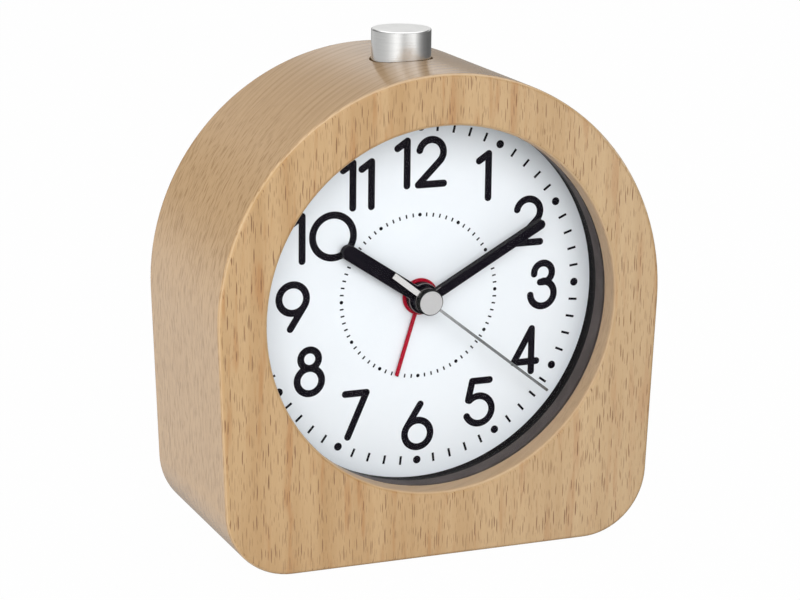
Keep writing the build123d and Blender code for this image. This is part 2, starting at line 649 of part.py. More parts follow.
def hour_wheel():
    body = rod(AXIS, HOUR_TUBE, HOUR_FACE + HAND_EDGE, HOUR_PLANE)
    body += wheel(AXIS, HOUR_WHEEL_TEETH, HOUR_MODULE, HOUR_PLANE, CHANGE_DIRECTION)
    return body - rod(AXIS, HOUR_BORE, HOUR_FACE - PAST, BOX_BACK)


def alarm_wheel():
    body = rod(AXIS, ALARM_TUBE, ALARM_FACE + HAND_EDGE, ALARM_PLANE)
    body += wheel(AXIS, ALARM_WHEEL_TEETH, ALARM_MODULE, ALARM_PLANE, ALARM_SET_DIRECTION)
    return body - rod(AXIS, ALARM_BORE, ALARM_FACE - PAST, BOX_BACK)


def third_wheel():
    towards_axis = THIRD_DIRECTION + math.pi
    body = rod(THIRD, PIVOT_RADIUS, PIVOT_FRONT, PIVOT_BACK)
    body += wheel(THIRD, THIRD_WHEEL_TEETH, SECOND_MODULE, THIRD_PLANE, towards_axis)
    gap = facing_gap(towards_axis, THIRD_PINION_TEETH)
    return body + pinion(THIRD, THIRD_PINION_TEETH, THIRD_MODULE, CENTRE_PLANE, THIRD_PLANE, gap)


def change_wheel():
    towards_axis = CHANGE_DIRECTION + math.pi
    body = wheel(CHANGE, CHANGE_WHEEL_TEETH, CHANGE_MODULE, CHANGE_PLANE, towards_axis)
    gap = facing_gap(towards_axis, CHANGE_PINION_TEETH)
    body += pinion(CHANGE, CHANGE_PINION_TEETH, HOUR_MODULE, HOUR_PLANE, CHANGE_PLANE, gap)
    return body - rod(CHANGE, CHANGE_POST_RADIUS + RUNNING_FIT, PLATE_FACE, BOX_BACK)


def intermediate_wheel():
    towards_axis = INTERMEDIATE_DIRECTION + math.pi
    body = rod(INTERMEDIATE, PIVOT_RADIUS, PIVOT_FRONT, PIVOT_BACK)
    body += wheel(INTERMEDIATE, INTERMEDIATE_WHEEL_TEETH, ROTOR_MODULE, INTERMEDIATE_PLANE, ROTOR_DIRECTION)
    gap = facing_gap(towards_axis, INTERMEDIATE_PINION_TEETH)
    return body + pinion(
        INTERMEDIATE, INTERMEDIATE_PINION_TEETH, INTERMEDIATE_MODULE, SECOND_PLANE, INTERMEDIATE_PLANE, gap
    )


def rotor():
    gap = facing_gap(ROTOR_DIRECTION + math.pi, ROTOR_PINION_TEETH)
    body = rod(ROTOR, PIVOT_RADIUS, PIVOT_FRONT, PIVOT_BACK)
    body += pinion(ROTOR, ROTOR_PINION_TEETH, ROTOR_MODULE, INTERMEDIATE_PLANE, MAGNET_PLANE, gap)
    return body + rod(ROTOR, MAGNET_RADIUS, MAGNET_PLANE, MAGNET_PLANE + MAGNET_LENGTH)


# Setting shafts and knobs
def setting_shaft(place, teeth, module, plane, first_tooth):
    shaft = rod(place, SET_SHAFT_RADIUS, PIVOT_FRONT, KNOB_FACE + KNOB_HEIGHT / 2)
    return shaft + pinion(place, teeth, module, plane, plane + WHEEL_THICKNESS + TOOTH_OVERHANG, first_tooth)


def time_set_shaft():
    pitch_angle = 2 * math.pi / CHANGE_WHEEL_TEETH
    offset_angle = (TIME_SET_DIRECTION - CHANGE_DIRECTION - math.pi) % pitch_angle
    turn = offset_angle * CHANGE_WHEEL_TEETH / TIME_PINION_TEETH
    gap = facing_gap(TIME_SET_DIRECTION + math.pi + turn, TIME_PINION_TEETH)
    return setting_shaft(TIME_SET, TIME_PINION_TEETH, CHANGE_MODULE, CHANGE_PLANE, gap)


def alarm_set_shaft():
    gap = facing_gap(ALARM_SET_DIRECTION + math.pi, ALARM_PINION_TEETH)
    return setting_shaft(ALARM_SET, ALARM_PINION_TEETH, ALARM_MODULE, ALARM_PLANE, gap)


def setting_knob(place):
    """Knob with pointed ridges round its rim and a plain raised face."""
    corners = []
    for step in range(2 * KNOB_RIDGE_COUNT):
        radius = KNOB_RADIUS - KNOB_RIDGE * (step % 2)
        corners.append(away(place, radius, step * math.pi / KNOB_RIDGE_COUNT))
    back = KNOB_FACE + KNOB_HEIGHT
    knob = prism(make_face(Polyline(*corners, close=True)), KNOB_FACE, back - KNOB_FACE_STEP)
    knob += rod(place, KNOB_RADIUS - 2 * KNOB_RIDGE, back - KNOB_FACE_STEP, back)
    return knob - rod(place, SET_SHAFT_RADIUS + PRESS_FIT, KNOB_FACE - PAST, KNOB_FACE + KNOB_HEIGHT / 2)


# Motor and circuit
def stator():
    width = STATOR_RIGHT - STATOR_LEFT
    height = STATOR_TOP - STATOR_BOTTOM
    middle = ((STATOR_LEFT + STATOR_RIGHT) / 2, (STATOR_BOTTOM + STATOR_TOP) / 2)
    window_left = STATOR_LEFT + STATOR_BAR + COIL_GAP - PAST
    window_right = ROTOR[0] - 2 * STATOR_BORE
    window_low = STATOR_BOTTOM + STATOR_BAR + PAST
    window_high = STATOR_TOP - STATOR_BAR
    window = ((window_left + window_right) / 2, (window_low + window_high) / 2)
    plate = block(middle, width, height, STATOR_FACE, STATOR_BACK)
    plate -= block(
        window, window_right - window_left, window_high - window_low, STATOR_FACE - PAST, STATOR_BACK + PAST
    )
    return plate - rod(ROTOR, STATOR_BORE, STATOR_FACE - PAST, STATOR_BACK + PAST)


def coil_block(length, height):
    """Block round the top bar of the stator."""
    return block(COIL_MIDDLE, length, height, COIL_AXIS_DEPTH - height / 2, COIL_AXIS_DEPTH + height / 2)


def bar_sleeve(length, wall):
    """Block that stands off the top bar of the stator by a wall on every side."""
    half = STATOR_THICKNESS / 2 + wall
    return block(COIL_MIDDLE, length, STATOR_BAR + 2 * wall, COIL_AXIS_DEPTH - half, COIL_AXIS_DEPTH + half)


def coil_bobbin():
    winding_room = COIL_LENGTH - 2 * CHEEK_THICKNESS
    cheeks = coil_block(COIL_LENGTH, COIL_HEIGHT) - coil_block(winding_room, COIL_HEIGHT + PAST)
    return cheeks + bar_sleeve(COIL_LENGTH, SLEEVE_WALL) - bar_sleeve(COIL_LENGTH + PAST, RUNNING_FIT)


def coil_winding():
    winding = coil_block(COIL_LENGTH - 2 * (CHEEK_THICKNESS + RUNNING_FIT), COIL_HEIGHT - 2 * CHEEK_RISE)
    along = winding.edges().filter_by(Axis.X)
    return chamfer(along, COIL_CORNER) - bar_sleeve(COIL_LENGTH, SLEEVE_WALL)


def circuit_board():
    return block(CIRCUIT, CIRCUIT_WIDTH, CIRCUIT_HEIGHT, CIRCUIT_FACE, BOX_FLOOR)


def driver_chip():
    return rod((CIRCUIT[0], CIRCUIT[1] + CHIP_OFFSET), CHIP_RADIUS, CIRCUIT_FACE - CHIP_HEIGHT, CIRCUIT_FACE)


def quartz_crystal():
    height = HANDS_HEIGHT + CIRCUIT[1] + CRYSTAL_OFFSET
    can = Cylinder(CRYSTAL_RADIUS, CRYSTAL_LENGTH)
    return Pos(CIRCUIT[0], at(CIRCUIT_FACE - CRYSTAL_RADIUS), height) * can


# Battery and contacts
def battery():
    body = lying(CELL_RADIUS, CELL_LEFT, CELL_RIGHT)
    body = chamfer(body.edges().filter_by(GeomType.CIRCLE), CELL_EDGE)
    return body + lying(CELL_NUB_RADIUS, CELL_RIGHT, CELL_RIGHT + CELL_NUB)


def contact_plate(left, right):
    """Flat plate standing against an end of the battery tub."""
    near = CELL_AXIS_DEPTH - CONTACT_WIDTH / 2
    far = CELL_AXIS_DEPTH + CONTACT_WIDTH / 2
    return block(((left + right) / 2, CELL_PLACE), right - left, CONTACT_HEIGHT, near, far)


def battery_contact_positive():
    face = TUB_RIGHT - CONTACT_THICKNESS
    return contact_plate(face, TUB_RIGHT) + lying(CONTACT_BUMP, CELL_RIGHT + CELL_NUB, face)


def battery_contact_negative():
    """Plate with a bent leaf that presses on the flat end of the cell."""
    face = TUB_LEFT + CONTACT_THICKNESS
    root = CONTACT_WIDTH / 2
    flat = LEAF_FLAT / 2
    outline = [
        (face, -root),
        (CELL_LEFT, -flat),
        (CELL_LEFT, flat),
        (CELL_LEFT - CONTACT_THICKNESS, flat),
        (CELL_LEFT - CONTACT_THICKNESS, -flat),
        (face, CONTACT_THICKNESS - root),
    ]
    level = Plane((0, at(CELL_AXIS_DEPTH), HANDS_HEIGHT + CELL_PLACE), x_dir=(1, 0, 0), z_dir=(0, 0, 1))
    leaf = extrude(level * make_face(Polyline(*outline, close=True)), amount=LEAF_WIDTH / 2, both=True)
    return contact_plate(TUB_LEFT, face) + leaf


# Rear cover and what it carries
def rear_cover():
    cover = prism(arch(REAR_MARGIN + LOOSE_FIT), COVER_FACE, COVER_BACK)
    cover += rod(AXIS, DISH_RADIUS + DISH_WALL, DISH_FACE, COVER_FACE)
    cover -= rod(AXIS, DISH_RADIUS, DISH_BACK, COVER_BACK + PAST)
    walls = 2 * TUB_WALL
    tub_outer = rounded(TUB_MIDDLE, TUB_WIDTH + walls, TUB_HEIGHT + walls, TUB_CORNER + TUB_WALL)
    cover += prism(tub_outer, TUB_FACE - TUB_WALL, DISH_FACE)
    cover -= prism(rounded(TUB_MIDDLE, TUB_WIDTH, TUB_HEIGHT, TUB_CORNER), TUB_FACE, DISH_BACK + PAST)
    pocket = rounded(TUB_MIDDLE, DOOR_WIDTH, DOOR_HEIGHT, TUB_CORNER + DOOR_LEDGE)
    cover -= prism(pocket, DISH_BACK - DOOR_THICKNESS, DISH_BACK + PAST)
    for place in (ALARM_SET, TIME_SET):
        cover -= rod(place, SET_SHAFT_RADIUS + LOOSE_FIT, DISH_FACE - PAST, DISH_BACK + PAST)
    cover -= block(SWITCH, SLOT_WIDTH, SLOT_HEIGHT, DISH_FACE - PAST, DISH_BACK + PAST)
    turn = 2 * math.pi / SOUND_HOLE_COUNT
    for place in [BUZZER] + [away(BUZZER, SOUND_CIRCLE, step * turn) for step in range(SOUND_HOLE_COUNT)]:
        cover -= rod(place, SOUND_HOLE, DISH_FACE - PAST, DISH_BACK + PAST)
    seat = COVER_BACK - COVER_SCREW_HEAD_HEIGHT
    for place in COVER_SCREWS:
        cover -= rod(place, COVER_SCREW_RADIUS + LOOSE_FIT, COVER_FACE - PAST, COVER_BACK + PAST)
        cover -= rod(place, COVER_SCREW_HEAD + LOOSE_FIT, seat, COVER_BACK + PAST)
    return cover


def battery_door():
    width = DOOR_WIDTH - 2 * LOOSE_FIT
    height = DOOR_HEIGHT - 2 * LOOSE_FIT
    outline = rounded(TUB_MIDDLE, width, height, TUB_CORNER + DOOR_LEDGE - LOOSE_FIT)
    door = prism(outline, DISH_BACK - DOOR_THICKNESS, DISH_BACK)
    for rib in range(DOOR_RIB_COUNT):
        place = (TUB_MIDDLE[0], CELL_PLACE + DOOR_RIB_STEP * (rib - (DOOR_RIB_COUNT - 1) / 2))
        door += block(place, DOOR_RIB_LENGTH, DOOR_RIB_WIDTH, DISH_BACK, DISH_BACK + DOOR_RIB_HEIGHT)
    return door


def cover_screws():
    screws = []
    seat = COVER_BACK - COVER_SCREW_HEAD_HEIGHT
    slot_floor = COVER_BACK - COVER_SCREW_SLOT_DEPTH
    for place in COVER_SCREWS:
        screw = rod(place, COVER_SCREW_HEAD, seat, COVER_BACK)
        screw += rod(place, COVER_SCREW_RADIUS, COVER_BACK - COVER_SCREW_LENGTH, seat)
        screw -= block(place, COVER_SCREW_SLOT_LENGTH, COVER_SCREW_SLOT, slot_floor, COVER_BACK + PAST)
        screw -= block(place, COVER_SCREW_SLOT, COVER_SCREW_SLOT_LENGTH, slot_floor, COVER_BACK + PAST)
        screws.append(screw)
    return screws


def buzzer():
    body = rod(BUZZER, BUZZER_RADIUS, DISH_FACE - BUZZER_HEIGHT, DISH_FACE)
    chamber = SOUND_CIRCLE + SOUND_HOLE + BUZZER_LIP
    return body - rod(BUZZER, chamber, DISH_FACE - BUZZER_CHAMBER, DISH_FACE + PAST)


def alarm_switch_body():
    width = SLOT_WIDTH + 2 * SWITCH_BODY_MARGIN
    return block(SWITCH, width, SLOT_HEIGHT + 2 * SWITCH_BODY_SIDE, BOX_BACK, SWITCH_SEAT)


def alarm_switch_slider():
    place = (SWITCH[0] - SWITCH_TRAVEL / 2, SWITCH[1])
    flange_face = SWITCH_SEAT + RUNNING_FIT
    thumb_face = DISH_BACK + RUNNING_FIT
    thumb_back = COVER_BACK - SWITCH_THUMB_DROP
    flange_width = SLOT_WIDTH + SWITCH_FLANGE_MARGIN
    flange_height = SLOT_HEIGHT + 2 * SWITCH_FLANGE_MARGIN
    body = block(place, flange_width, flange_height, flange_face, flange_face + SWITCH_FLANGE)
    body += block(place, SWITCH_STEM_WIDTH, SWITCH_STEM_HEIGHT, flange_face, thumb_face)
    body += block(place, SWITCH_THUMB_WIDTH, SWITCH_THUMB_HEIGHT, thumb_face, thumb_back)
    groove_floor = thumb_back - SWITCH_GROOVE_DEPTH
    for step in (-1, 0, 1):
        groove = (place[0] + step * SWITCH_GROOVE_STEP, place[1])
        body -= block(groove, SWITCH_GROOVE, SWITCH_THUMB_HEIGHT + PAST, groove_floor, thumb_back + PAST)
    return body


# Push button and its switch
def snooze_button():
    cap = upright(BUTTON_RADIUS, SKIRT_BOTTOM, BUTTON_TOP)
    cap = fillet(cap.faces().sort_by(Axis.Z)[-1].edges(), BUTTON_EDGE)
    return cap - upright(BUTTON_RADIUS - BUTTON_WALL, SKIRT_BOTTOM - PAST, BUTTON_TOP - BUTTON_WALL)


def button_plunger():
    body = standing(2 * PLUNGER_FLANGE_REACH, PLUNGER_FLANGE_DEPTH, FLANGE_BOTTOM, FLANGE_TOP)
    body += upright(BUTTON_RADIUS - BUTTON_WALL - PRESS_FIT, FLANGE_TOP, BUTTON_TOP - BUTTON_WALL)
    return body + upright(PLUNGER_PIN, PIN_BOTTOM, FLANGE_BOTTOM)


def button_spring():
    """Coil bent from square wire in straight steps."""
    rise = FLANGE_BOTTOM - BOARD_TOP - SPRING_WIRE - 2 * RUNNING_FIT
    steps = SPRING_TURN_COUNT * SPRING_SIDE_COUNT
    corners = []
    for step in range(steps + 1):
        x, y = away(AXIS, SPRING_RADIUS, step * 2 * math.pi / SPRING_SIDE_COUNT)
        corners.append((x, y, rise * step / steps))
    path = Polyline(*corners)
    section = Plane(origin=path @ 0, x_dir=(0, 0, 1), z_dir=path % 0) * Rectangle(SPRING_WIRE, SPRING_WIRE)
    coil = sweep(section, path=path, transition=Transition.RIGHT)
    return Pos(BUTTON_SIDE, at(BUTTON_DEPTH), BOARD_TOP + SPRING_WIRE / 2 + RUNNING_FIT) * coil


def switch_board():
    size = 2 * (SPRING_RADIUS + SPRING_WIRE / 2 + SWITCH_BOARD_MARGIN)
    return standing(size + 2 * SWITCH_BOARD_WING, size, BOARD_BOTTOM, BOARD_TOP)


def snooze_switch():
    body = standing(TACT_WIDTH, TACT_WIDTH, BOARD_TOP, BOARD_TOP + TACT_HEIGHT)
    return body + upright(TACT_NUB_RADIUS, BOARD_TOP + TACT_HEIGHT, TACT_TOP)


# Hands
def alarm_hand():
    length = WINDOW_RADIUS - ALARM_SHORT
    bore = ALARM_TUBE + PRESS_FIT
    return hand(length, ALARM_WIDTH, ALARM_HUB, bore, ALARM_ANGLE, ALARM_FACE, ALARM_BACK, ALARM_BACK)


def hour_hand():
    length = WINDOW_RADIUS - HOUR_SHORT
    bore = HOUR_TUBE + PRESS_FIT
    hub_back = ALARM_FACE - HUB_GAP
    return hand(length, HOUR_WIDTH, HOUR_HUB, bore, HOUR_ANGLE, HOUR_FACE, HOUR_BACK, hub_back)


def minute_hand():
    length = WINDOW_RADIUS - MINUTE_SHORT
    bore = MINUTE_TUBE + PRESS_FIT
    hub_back = HOUR_FACE - HUB_GAP
    return hand(length, MINUTE_WIDTH, MINUTE_HUB, bore, MINUTE_ANGLE, MINUTE_FACE, MINUTE_BACK, hub_back)


def second_hand():
    length = WINDOW_RADIUS - SECOND_SHORT
    pointer = Pos(0, length / 2) * Rectangle(SECOND_WIDTH, length)
    tail = Pos(0, -SECOND_TAIL / 2) * Rectangle(TAIL_WIDTH, SECOND_TAIL)
    body = prism(Rot(0, 0, -SECOND_ANGLE) * (pointer + tail), SECOND_FACE, SECOND_BACK)
    cap_face = SECOND_FACE - CAP_RISE
    cap_back = MINUTE_FACE - HUB_GAP
    body += turned(
        [
            (0, cap_face),
            (SECOND_HUB - CAP_EDGE, cap_face),
            (SECOND_HUB, cap_face + CAP_EDGE),
            (SECOND_HUB, cap_back),
            (0, cap_back),
        ]
    )
    return body - rod(AXIS, ARBOR_RADIUS + PRESS_FIT, SECOND_FACE, MINUTE_BACK)


PIECES = {
    "wooden_case": wooden_case,
    "lens": lens,
    "bezel_ring": bezel_ring,
    "dial": dial,
    "dial_carrier": dial_carrier,
    "module_shell": module_shell,
    "front_plate": front_plate,
    "movement_box": movement_box,
    "movement_screws": movement_screws,
    "seconds_wheel": seconds_wheel,
    "minute_wheel": minute_wheel,
    "hour_wheel": hour_wheel,
    "alarm_wheel": alarm_wheel,
    "third_wheel": third_wheel,
    "change_wheel": change_wheel,
    "intermediate_wheel": intermediate_wheel,
    "rotor": rotor,
    "stator": stator,
    "coil_bobbin": coil_bobbin,
    "coil_winding": coil_winding,
    "circuit_board": circuit_board,
    "driver_chip": driver_chip,
    "quartz_crystal": quartz_crystal,
    "time_set_shaft": time_set_shaft,
    "time_set_knob": lambda: setting_knob(TIME_SET),
    "alarm_set_shaft": alarm_set_shaft,
    "alarm_set_knob": lambda: setting_knob(ALARM_SET),
    "battery": battery,
    "battery_contact_positive": battery_contact_positive,
    "battery_contact_negative": battery_contact_negative,
    "rear_cover": rear_cover,
    "battery_door": battery_door,
    "cover_screws": cover_screws,
    "buzzer": buzzer,
    "alarm_switch_body": alarm_switch_body,
    "alarm_switch_slider": alarm_switch_slider,
    "snooze_button": snooze_button,
    "button_plunger": button_plunger,
    "button_spring": button_spring,
    "switch_board": switch_board,
    "snooze_switch": snooze_switch,
    "alarm_hand": alarm_hand,
    "hour_hand": hour_hand,
    "minute_hand": minute_hand,
    "second_hand": second_hand,
}

os.makedirs("parts", exist_ok=True)
for name, make in PIECES.items():
    made = make()
    if isinstance(made, list):
        made = Compound(children=made)
    export_step(made, f"parts/{name}.step")
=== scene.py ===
import math

import bmesh
import bpy
from mathutils import Matrix, Vector


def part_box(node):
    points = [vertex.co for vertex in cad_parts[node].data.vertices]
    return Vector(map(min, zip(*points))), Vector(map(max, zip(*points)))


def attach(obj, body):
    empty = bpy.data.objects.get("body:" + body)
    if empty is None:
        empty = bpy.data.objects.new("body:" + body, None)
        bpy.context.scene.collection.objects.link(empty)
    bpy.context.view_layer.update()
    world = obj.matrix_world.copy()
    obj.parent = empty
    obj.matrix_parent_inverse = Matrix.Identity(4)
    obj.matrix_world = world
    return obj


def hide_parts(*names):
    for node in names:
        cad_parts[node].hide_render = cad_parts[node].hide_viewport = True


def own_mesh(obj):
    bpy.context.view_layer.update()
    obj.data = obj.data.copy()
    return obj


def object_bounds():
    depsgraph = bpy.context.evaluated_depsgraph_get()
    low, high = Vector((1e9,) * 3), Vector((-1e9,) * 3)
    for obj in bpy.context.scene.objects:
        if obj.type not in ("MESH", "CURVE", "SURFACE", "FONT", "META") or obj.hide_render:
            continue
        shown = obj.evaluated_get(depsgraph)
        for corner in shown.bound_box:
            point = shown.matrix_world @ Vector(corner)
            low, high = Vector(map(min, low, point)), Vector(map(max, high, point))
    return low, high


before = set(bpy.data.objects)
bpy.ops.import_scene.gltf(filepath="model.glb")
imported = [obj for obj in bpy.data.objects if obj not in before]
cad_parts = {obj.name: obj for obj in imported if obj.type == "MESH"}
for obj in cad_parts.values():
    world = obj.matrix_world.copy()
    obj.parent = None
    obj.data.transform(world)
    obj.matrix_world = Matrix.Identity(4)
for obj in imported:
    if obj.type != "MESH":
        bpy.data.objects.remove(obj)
cad_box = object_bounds()

MM = 0.001

# Places taken from the frame
dial_low, dial_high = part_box("dial")
DIAL_FACE_Y = dial_low.y
HANDS_Z = (dial_low.z + dial_high.z) / 2
FRONT_Y = cad_box[0].y
HUB = Vector((0, DIAL_FACE_Y, HANDS_Z))
second_low, second_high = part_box("second_hand")
POINTER_WAY = Vector((second_high.x, 0, second_low.z - HANDS_Z)).normalized()

# Printing on the dial, in millimetres, with the steps of its arcs in degrees
INK_THICKNESS = 0.02
INK_LEVEL_STEP = 0.001
NEXT_STROKE = 0.003
STROKE = 1.55
HALF_DIGIT = 4.8
ZERO_RADIUS = 4.6
DOT_SIDES = 28
ARC_STEP = 6.0
LEAST_ARC_STEPS = 8
NUMERAL_RADIUS = 29.0
MINUTE_TRACK_RADIUS = 36.7
HOUR_DOT_SIZE = 1.77
MINUTE_TICK_LENGTH = 1.95
MINUTE_TICK_WIDTH = 0.52
ALARM_TRACK_RADIUS = 17.75
ALARM_DOT_SIZE = 0.8
ALARM_TICK_LENGTH = 0.85
ALARM_TICK_WIDTH = 0.33
HOURS = 12
MINUTE_MARKS_PER_HOUR = 5
ALARM_MARKS_PER_HOUR = 6

# Spring under the button, in millimetres
SPRING_WIRE = 0.6
SPRING_TURNS = 4
SPRING_STEPS_PER_TURN = 32
WIRE_SIDES = 12

# Beech colours
PALE_BEECH = (0.535, 0.348, 0.168)
DEEP_BEECH = (0.440, 0.261, 0.106)
ORANGE_BEECH = (0.402, 0.182, 0.052)
# Paler, less saturated colour towards the right of the front
RIGHTWARD_PALE = (0.530, 0.440, 0.300)
SIDE_PALE = (0.555, 0.362, 0.184)
SIDE_DEEP = (0.360, 0.214, 0.092)
# Painted highlight along the rounded front edges of the beech
EDGE_HIGHLIGHT = (0.800, 0.630, 0.430)
WINDOW_TAN = (0.545, 0.385, 0.245)
FLECK_BROWN = (0.140, 0.050, 0.010)

# Sizes of the beech figure, in millimetres across, through and along the wood
STREAK_SIZE = (5.0, 5.0, 80.0)
PATCH_SIZE = (2.0, 2.0, 20.0)
FIBRE_SIZE = (0.3, 0.3, 8.0)
LINE_SIZE = (30.0, 0.8, 30.0)
DASH_SIZE = (2.8, 0.6, 2.8)
SWAY_SIZE = (6.0, 6.0, 9.0)
GRAIN_RELIEF = 0.005

# Yearly layers: their width in millimetres and their turn away from the front
LAYER_PITCH = 2.7
LAYER_TURN = math.radians(21)
WAVES_PER_UNIT = 20 / (2 * math.pi)

# Ray flecks: pitch and run in millimetres, then the least and most reach as parts of those
BOLD_FLECKS = (0.52, 7.0, 0.09, 0.30)
FAINT_FLECKS = (0.38, 4.6, 0.08, 0.26)
FLECK_SWAY = 1.2
FLECK_FADE = 0.09
FLECK_DEPTHS = (0.25, 1.0)

# Share of each figure in the colour of the beech
PATCH_SHARE = 0.7
RIGHTWARD_PALE_SHARE = 0.28
WINDOW_SHARE = 0.6
# Share of the painted highlight on the rounded edges
EDGE_HIGHLIGHT_SHARE = 0.30
FIBRE_SHARE = 0.25
FAINT_FLECK_SHARE = 0.55
FRONT_FLECK_SHARE = 0.95
SIDE_FLECK_SHARE = 0.35
LONG_LINE_SHARE = 0.4
DASH_SHARE = 0.85
LINES_AMONG_DASHES = 0.12

# Lacquer on the beech, thinner and duller in the window
LACQUER_ROUGHNESS = (0.20, 0.30)
WINDOW_DULLNESS = 0.35
COAT_IN_WINDOW = 0.1
COAT_OUTSIDE = 0.5
COAT_ROUGHNESS = 0.10

# Where finishes change, from the start to the end of the change, in millimetres
RIGHTWARD_PALE_RUN = (-20.0, 50.0)
WINDOW_EDGE = (39.5, 39.9)
TAIL_START = (2.9, 3.2)
POINTER_START = (2.8, 2.9)
POINTER_DARKENING = (2.9, 16.0)
HUB_EDGE = (4.0, 4.2)
# Painted shade on the ring: depth from the dial that is painted black as the groove's shadow, and its
# soft edge
PAINTED_SHADE_DEPTH = 4.2
PAINTED_SHADE_EDGE = (-0.2, 0.2)

# How squarely a surface faces where a finish begins and where it is full, 1 being squarely
FRONT_WOOD = (0.50, 0.78)
FRONT_FLECKS = (0.80, 0.92)
SIDE_FLECKS = (0.75, 0.95)
TOP_LINES = (0.60, 0.95)
# Rounded edges of the beech that get the painted highlight
EDGE_HIGHLIGHT_BEGINS = (0.48, 0.60)
EDGE_HIGHLIGHT_ENDS = (0.66, 0.80)
# Sloping edges of the hands that get a painted highlight
HAND_HIGHLIGHT_BEGINS = (0.45, 0.68)
HAND_HIGHLIGHT_ENDS = (0.75, 0.93)
BLASTED_TOP = (0.90, 0.99)
# Faces of the second hand less square than this are painted black as shade and dark reflection
FLAT_SILVER = (0.80, 0.95)

# Grain of plastics, metals, card, paint and table in millimetres, and the noise that shows as tone
PLASTIC_TONE_SIZE = (6.0, 6.0, 6.0)
MOULD_PITS = (0.18, 0.18, 0.18)
METAL_GRAIN = (0.12, 0.12, 0.12)
LATHE_RINGS = (9.0, 9.0, 0.16)
WIRE_TURNS = (0.1, 6.0, 6.0)
CARD_TONE_SIZE = (9.0, 9.0, 9.0)
CARD_TOOTH = (0.15, 0.15, 0.15)
PAINT_RIPPLE = (1.2, 1.2, 1.2)
TABLE_TONE_SIZE = (60.0, 60.0, 60.0)
TONE_STEP = (0.3, 0.7)

# Camera, measured from the photograph in pixels, degrees and millimetres; near and far in metres
IMAGE_WIDTH = 800
FOCAL_PIXELS = 2762.3
CAMERA_AZIMUTH = math.radians(-22.436)
CAMERA_ELEVATION = math.radians(14.405)
CAMERA_ROLL = math.radians(0.659)
CAMERA_DISTANCE = 572.67
CAMERA_AIM_X = -10.28
CAMERA_AIM_Z = 57.27
HALF_PIXEL = 0.5
SENSOR_WIDTH = 36.0
CAMERA_NEAR = 0.01
CAMERA_FAR = 20.0

# Lamps: place and size in metres, power in watts
LAMP_AIM = (0, 0, 0.055)
LAMPS = (
    ("front_lamp", (-0.20, -1.12, 0.49), (1.2, 0.9), 11.7),
    ("side_lamp", (-1.3, 0.2, 0.16), (0.7, 0.3), 8.3),
    ("top_lamp", (0.6, 0.40, 1.0), (0.8, 0.8), 2.9),
)

# White table top, its half width in metres
TABLE_REACH = 3.0
TABLE_GREY = (0.62, 0.64)
TABLE_ROUGHNESS = 0.8
TABLE_WHITENESS = 0.985

# Even light of the room, and the brighter and darker areas that mirrors see in it
ROOM_LIGHT = 0.45
BACK_PANEL_LIGHT = 0.84
WALL_TOP_LIGHT = 0.20
CEILING_LIGHT = 1.50

# Edges of those areas: how far a direction points up, back or right, 1 being straight
BACK_HALF = (0.0, 0.4)
WALL_TOP_ROWS = (0.29, 0.38)
DIM_ROWS_BEHIND = (-0.18, 0.12)
PANEL_ROWS = (0.06, 0.20)
PANEL_LEFT_END = (-0.35, 0.10)
CEILING_ROWS = (0.50, 0.75)

# Brightness of the walls by angle in degrees, anticlockwise from the right as seen from above
STUDIO_WALLS = (
    (-180, 0.60),
    (-164, 0.70),
    (-148, 0.93),
    (-132, 1.20),
    (-120, 1.13),
    (-110, 0.84),
    (-101, 0.68),
    (-88, 0.86),
    (-72, 1.04),
    (-60, 1.14),
    (-46, 0.64),
    (-34, 0.36),
    (-18, 0.20),
    (10, 0.13),
    (46, 0.13),
    (60, 0.32),
    (84, 0.38),
    (104, 0.62),
    (140, 0.55),
    (180, 0.60),
)


# Node helpers
def nodes_of(material):
    tree = material.node_tree
    return tree, tree.nodes["Principled BSDF"]


def new_material(name):
    material = bpy.data.materials.new(name)
    material.use_nodes = True
    tree, shader = nodes_of(material)
    return material, tree, shader


def fed_to(shader, socket):
    """What reaches a socket of the shader so far."""
    return shader.inputs[socket].links[0].from_socket


def add_node(tree, kind, **settings):
    node = tree.nodes.new(kind)
    for key, value in settings.items():
        setattr(node, key, value)
    return node


def pattern_space(tree, stretch, turn=0.0):
    """Object coordinates turned about the upright and counted in cells sized in millimetres."""
    place = add_node(tree, "ShaderNodeTexCoord")
    mapping = add_node(tree, "ShaderNodeMapping", vector_type="TEXTURE")
    mapping.inputs["Rotation"].default_value.z = turn
    mapping.inputs["Scale"].default_value = [size * MM for size in stretch]
    tree.links.new(place.outputs["Object"], mapping.inputs["Vector"])
    return mapping.outputs["Vector"]


def noise(tree, stretch, detail=3.0, roughness=0.55, turn=0.0):
    texture = add_node(tree, "ShaderNodeTexNoise")
    texture.inputs["Scale"].default_value = 1.0
    texture.inputs["Detail"].default_value = detail
    texture.inputs["Roughness"].default_value = roughness
    tree.links.new(pattern_space(tree, stretch, turn), texture.inputs["Vector"])
    return texture.outputs["Fac"]


def ramp(tree, value, low, high):
    """Soft step that is 0 where the value is low and 1 where it is high."""
    step = add_node(tree, "ShaderNodeMapRange", interpolation_type="SMOOTHSTEP")
    step.inputs["From Min"].default_value = low
    step.inputs["From Max"].default_value = high
    tree.links.new(value, step.inputs["Value"])
    return step.outputs["Result"]


def fade(tree, distance, stretch):
    """Soft step along a distance, over a stretch in millimetres."""
    start, end = stretch
    return ramp(tree, distance, start * MM, end * MM)


def spread(tree, value, low, high):
    """Value between 0 and 1 carried over to the range from low to high."""
    scale = add_node(tree, "ShaderNodeMapRange")
    scale.inputs["To Min"].default_value = low
    scale.inputs["To Max"].default_value = high
    tree.links.new(value, scale.inputs["Value"])
    return scale.outputs["Result"]


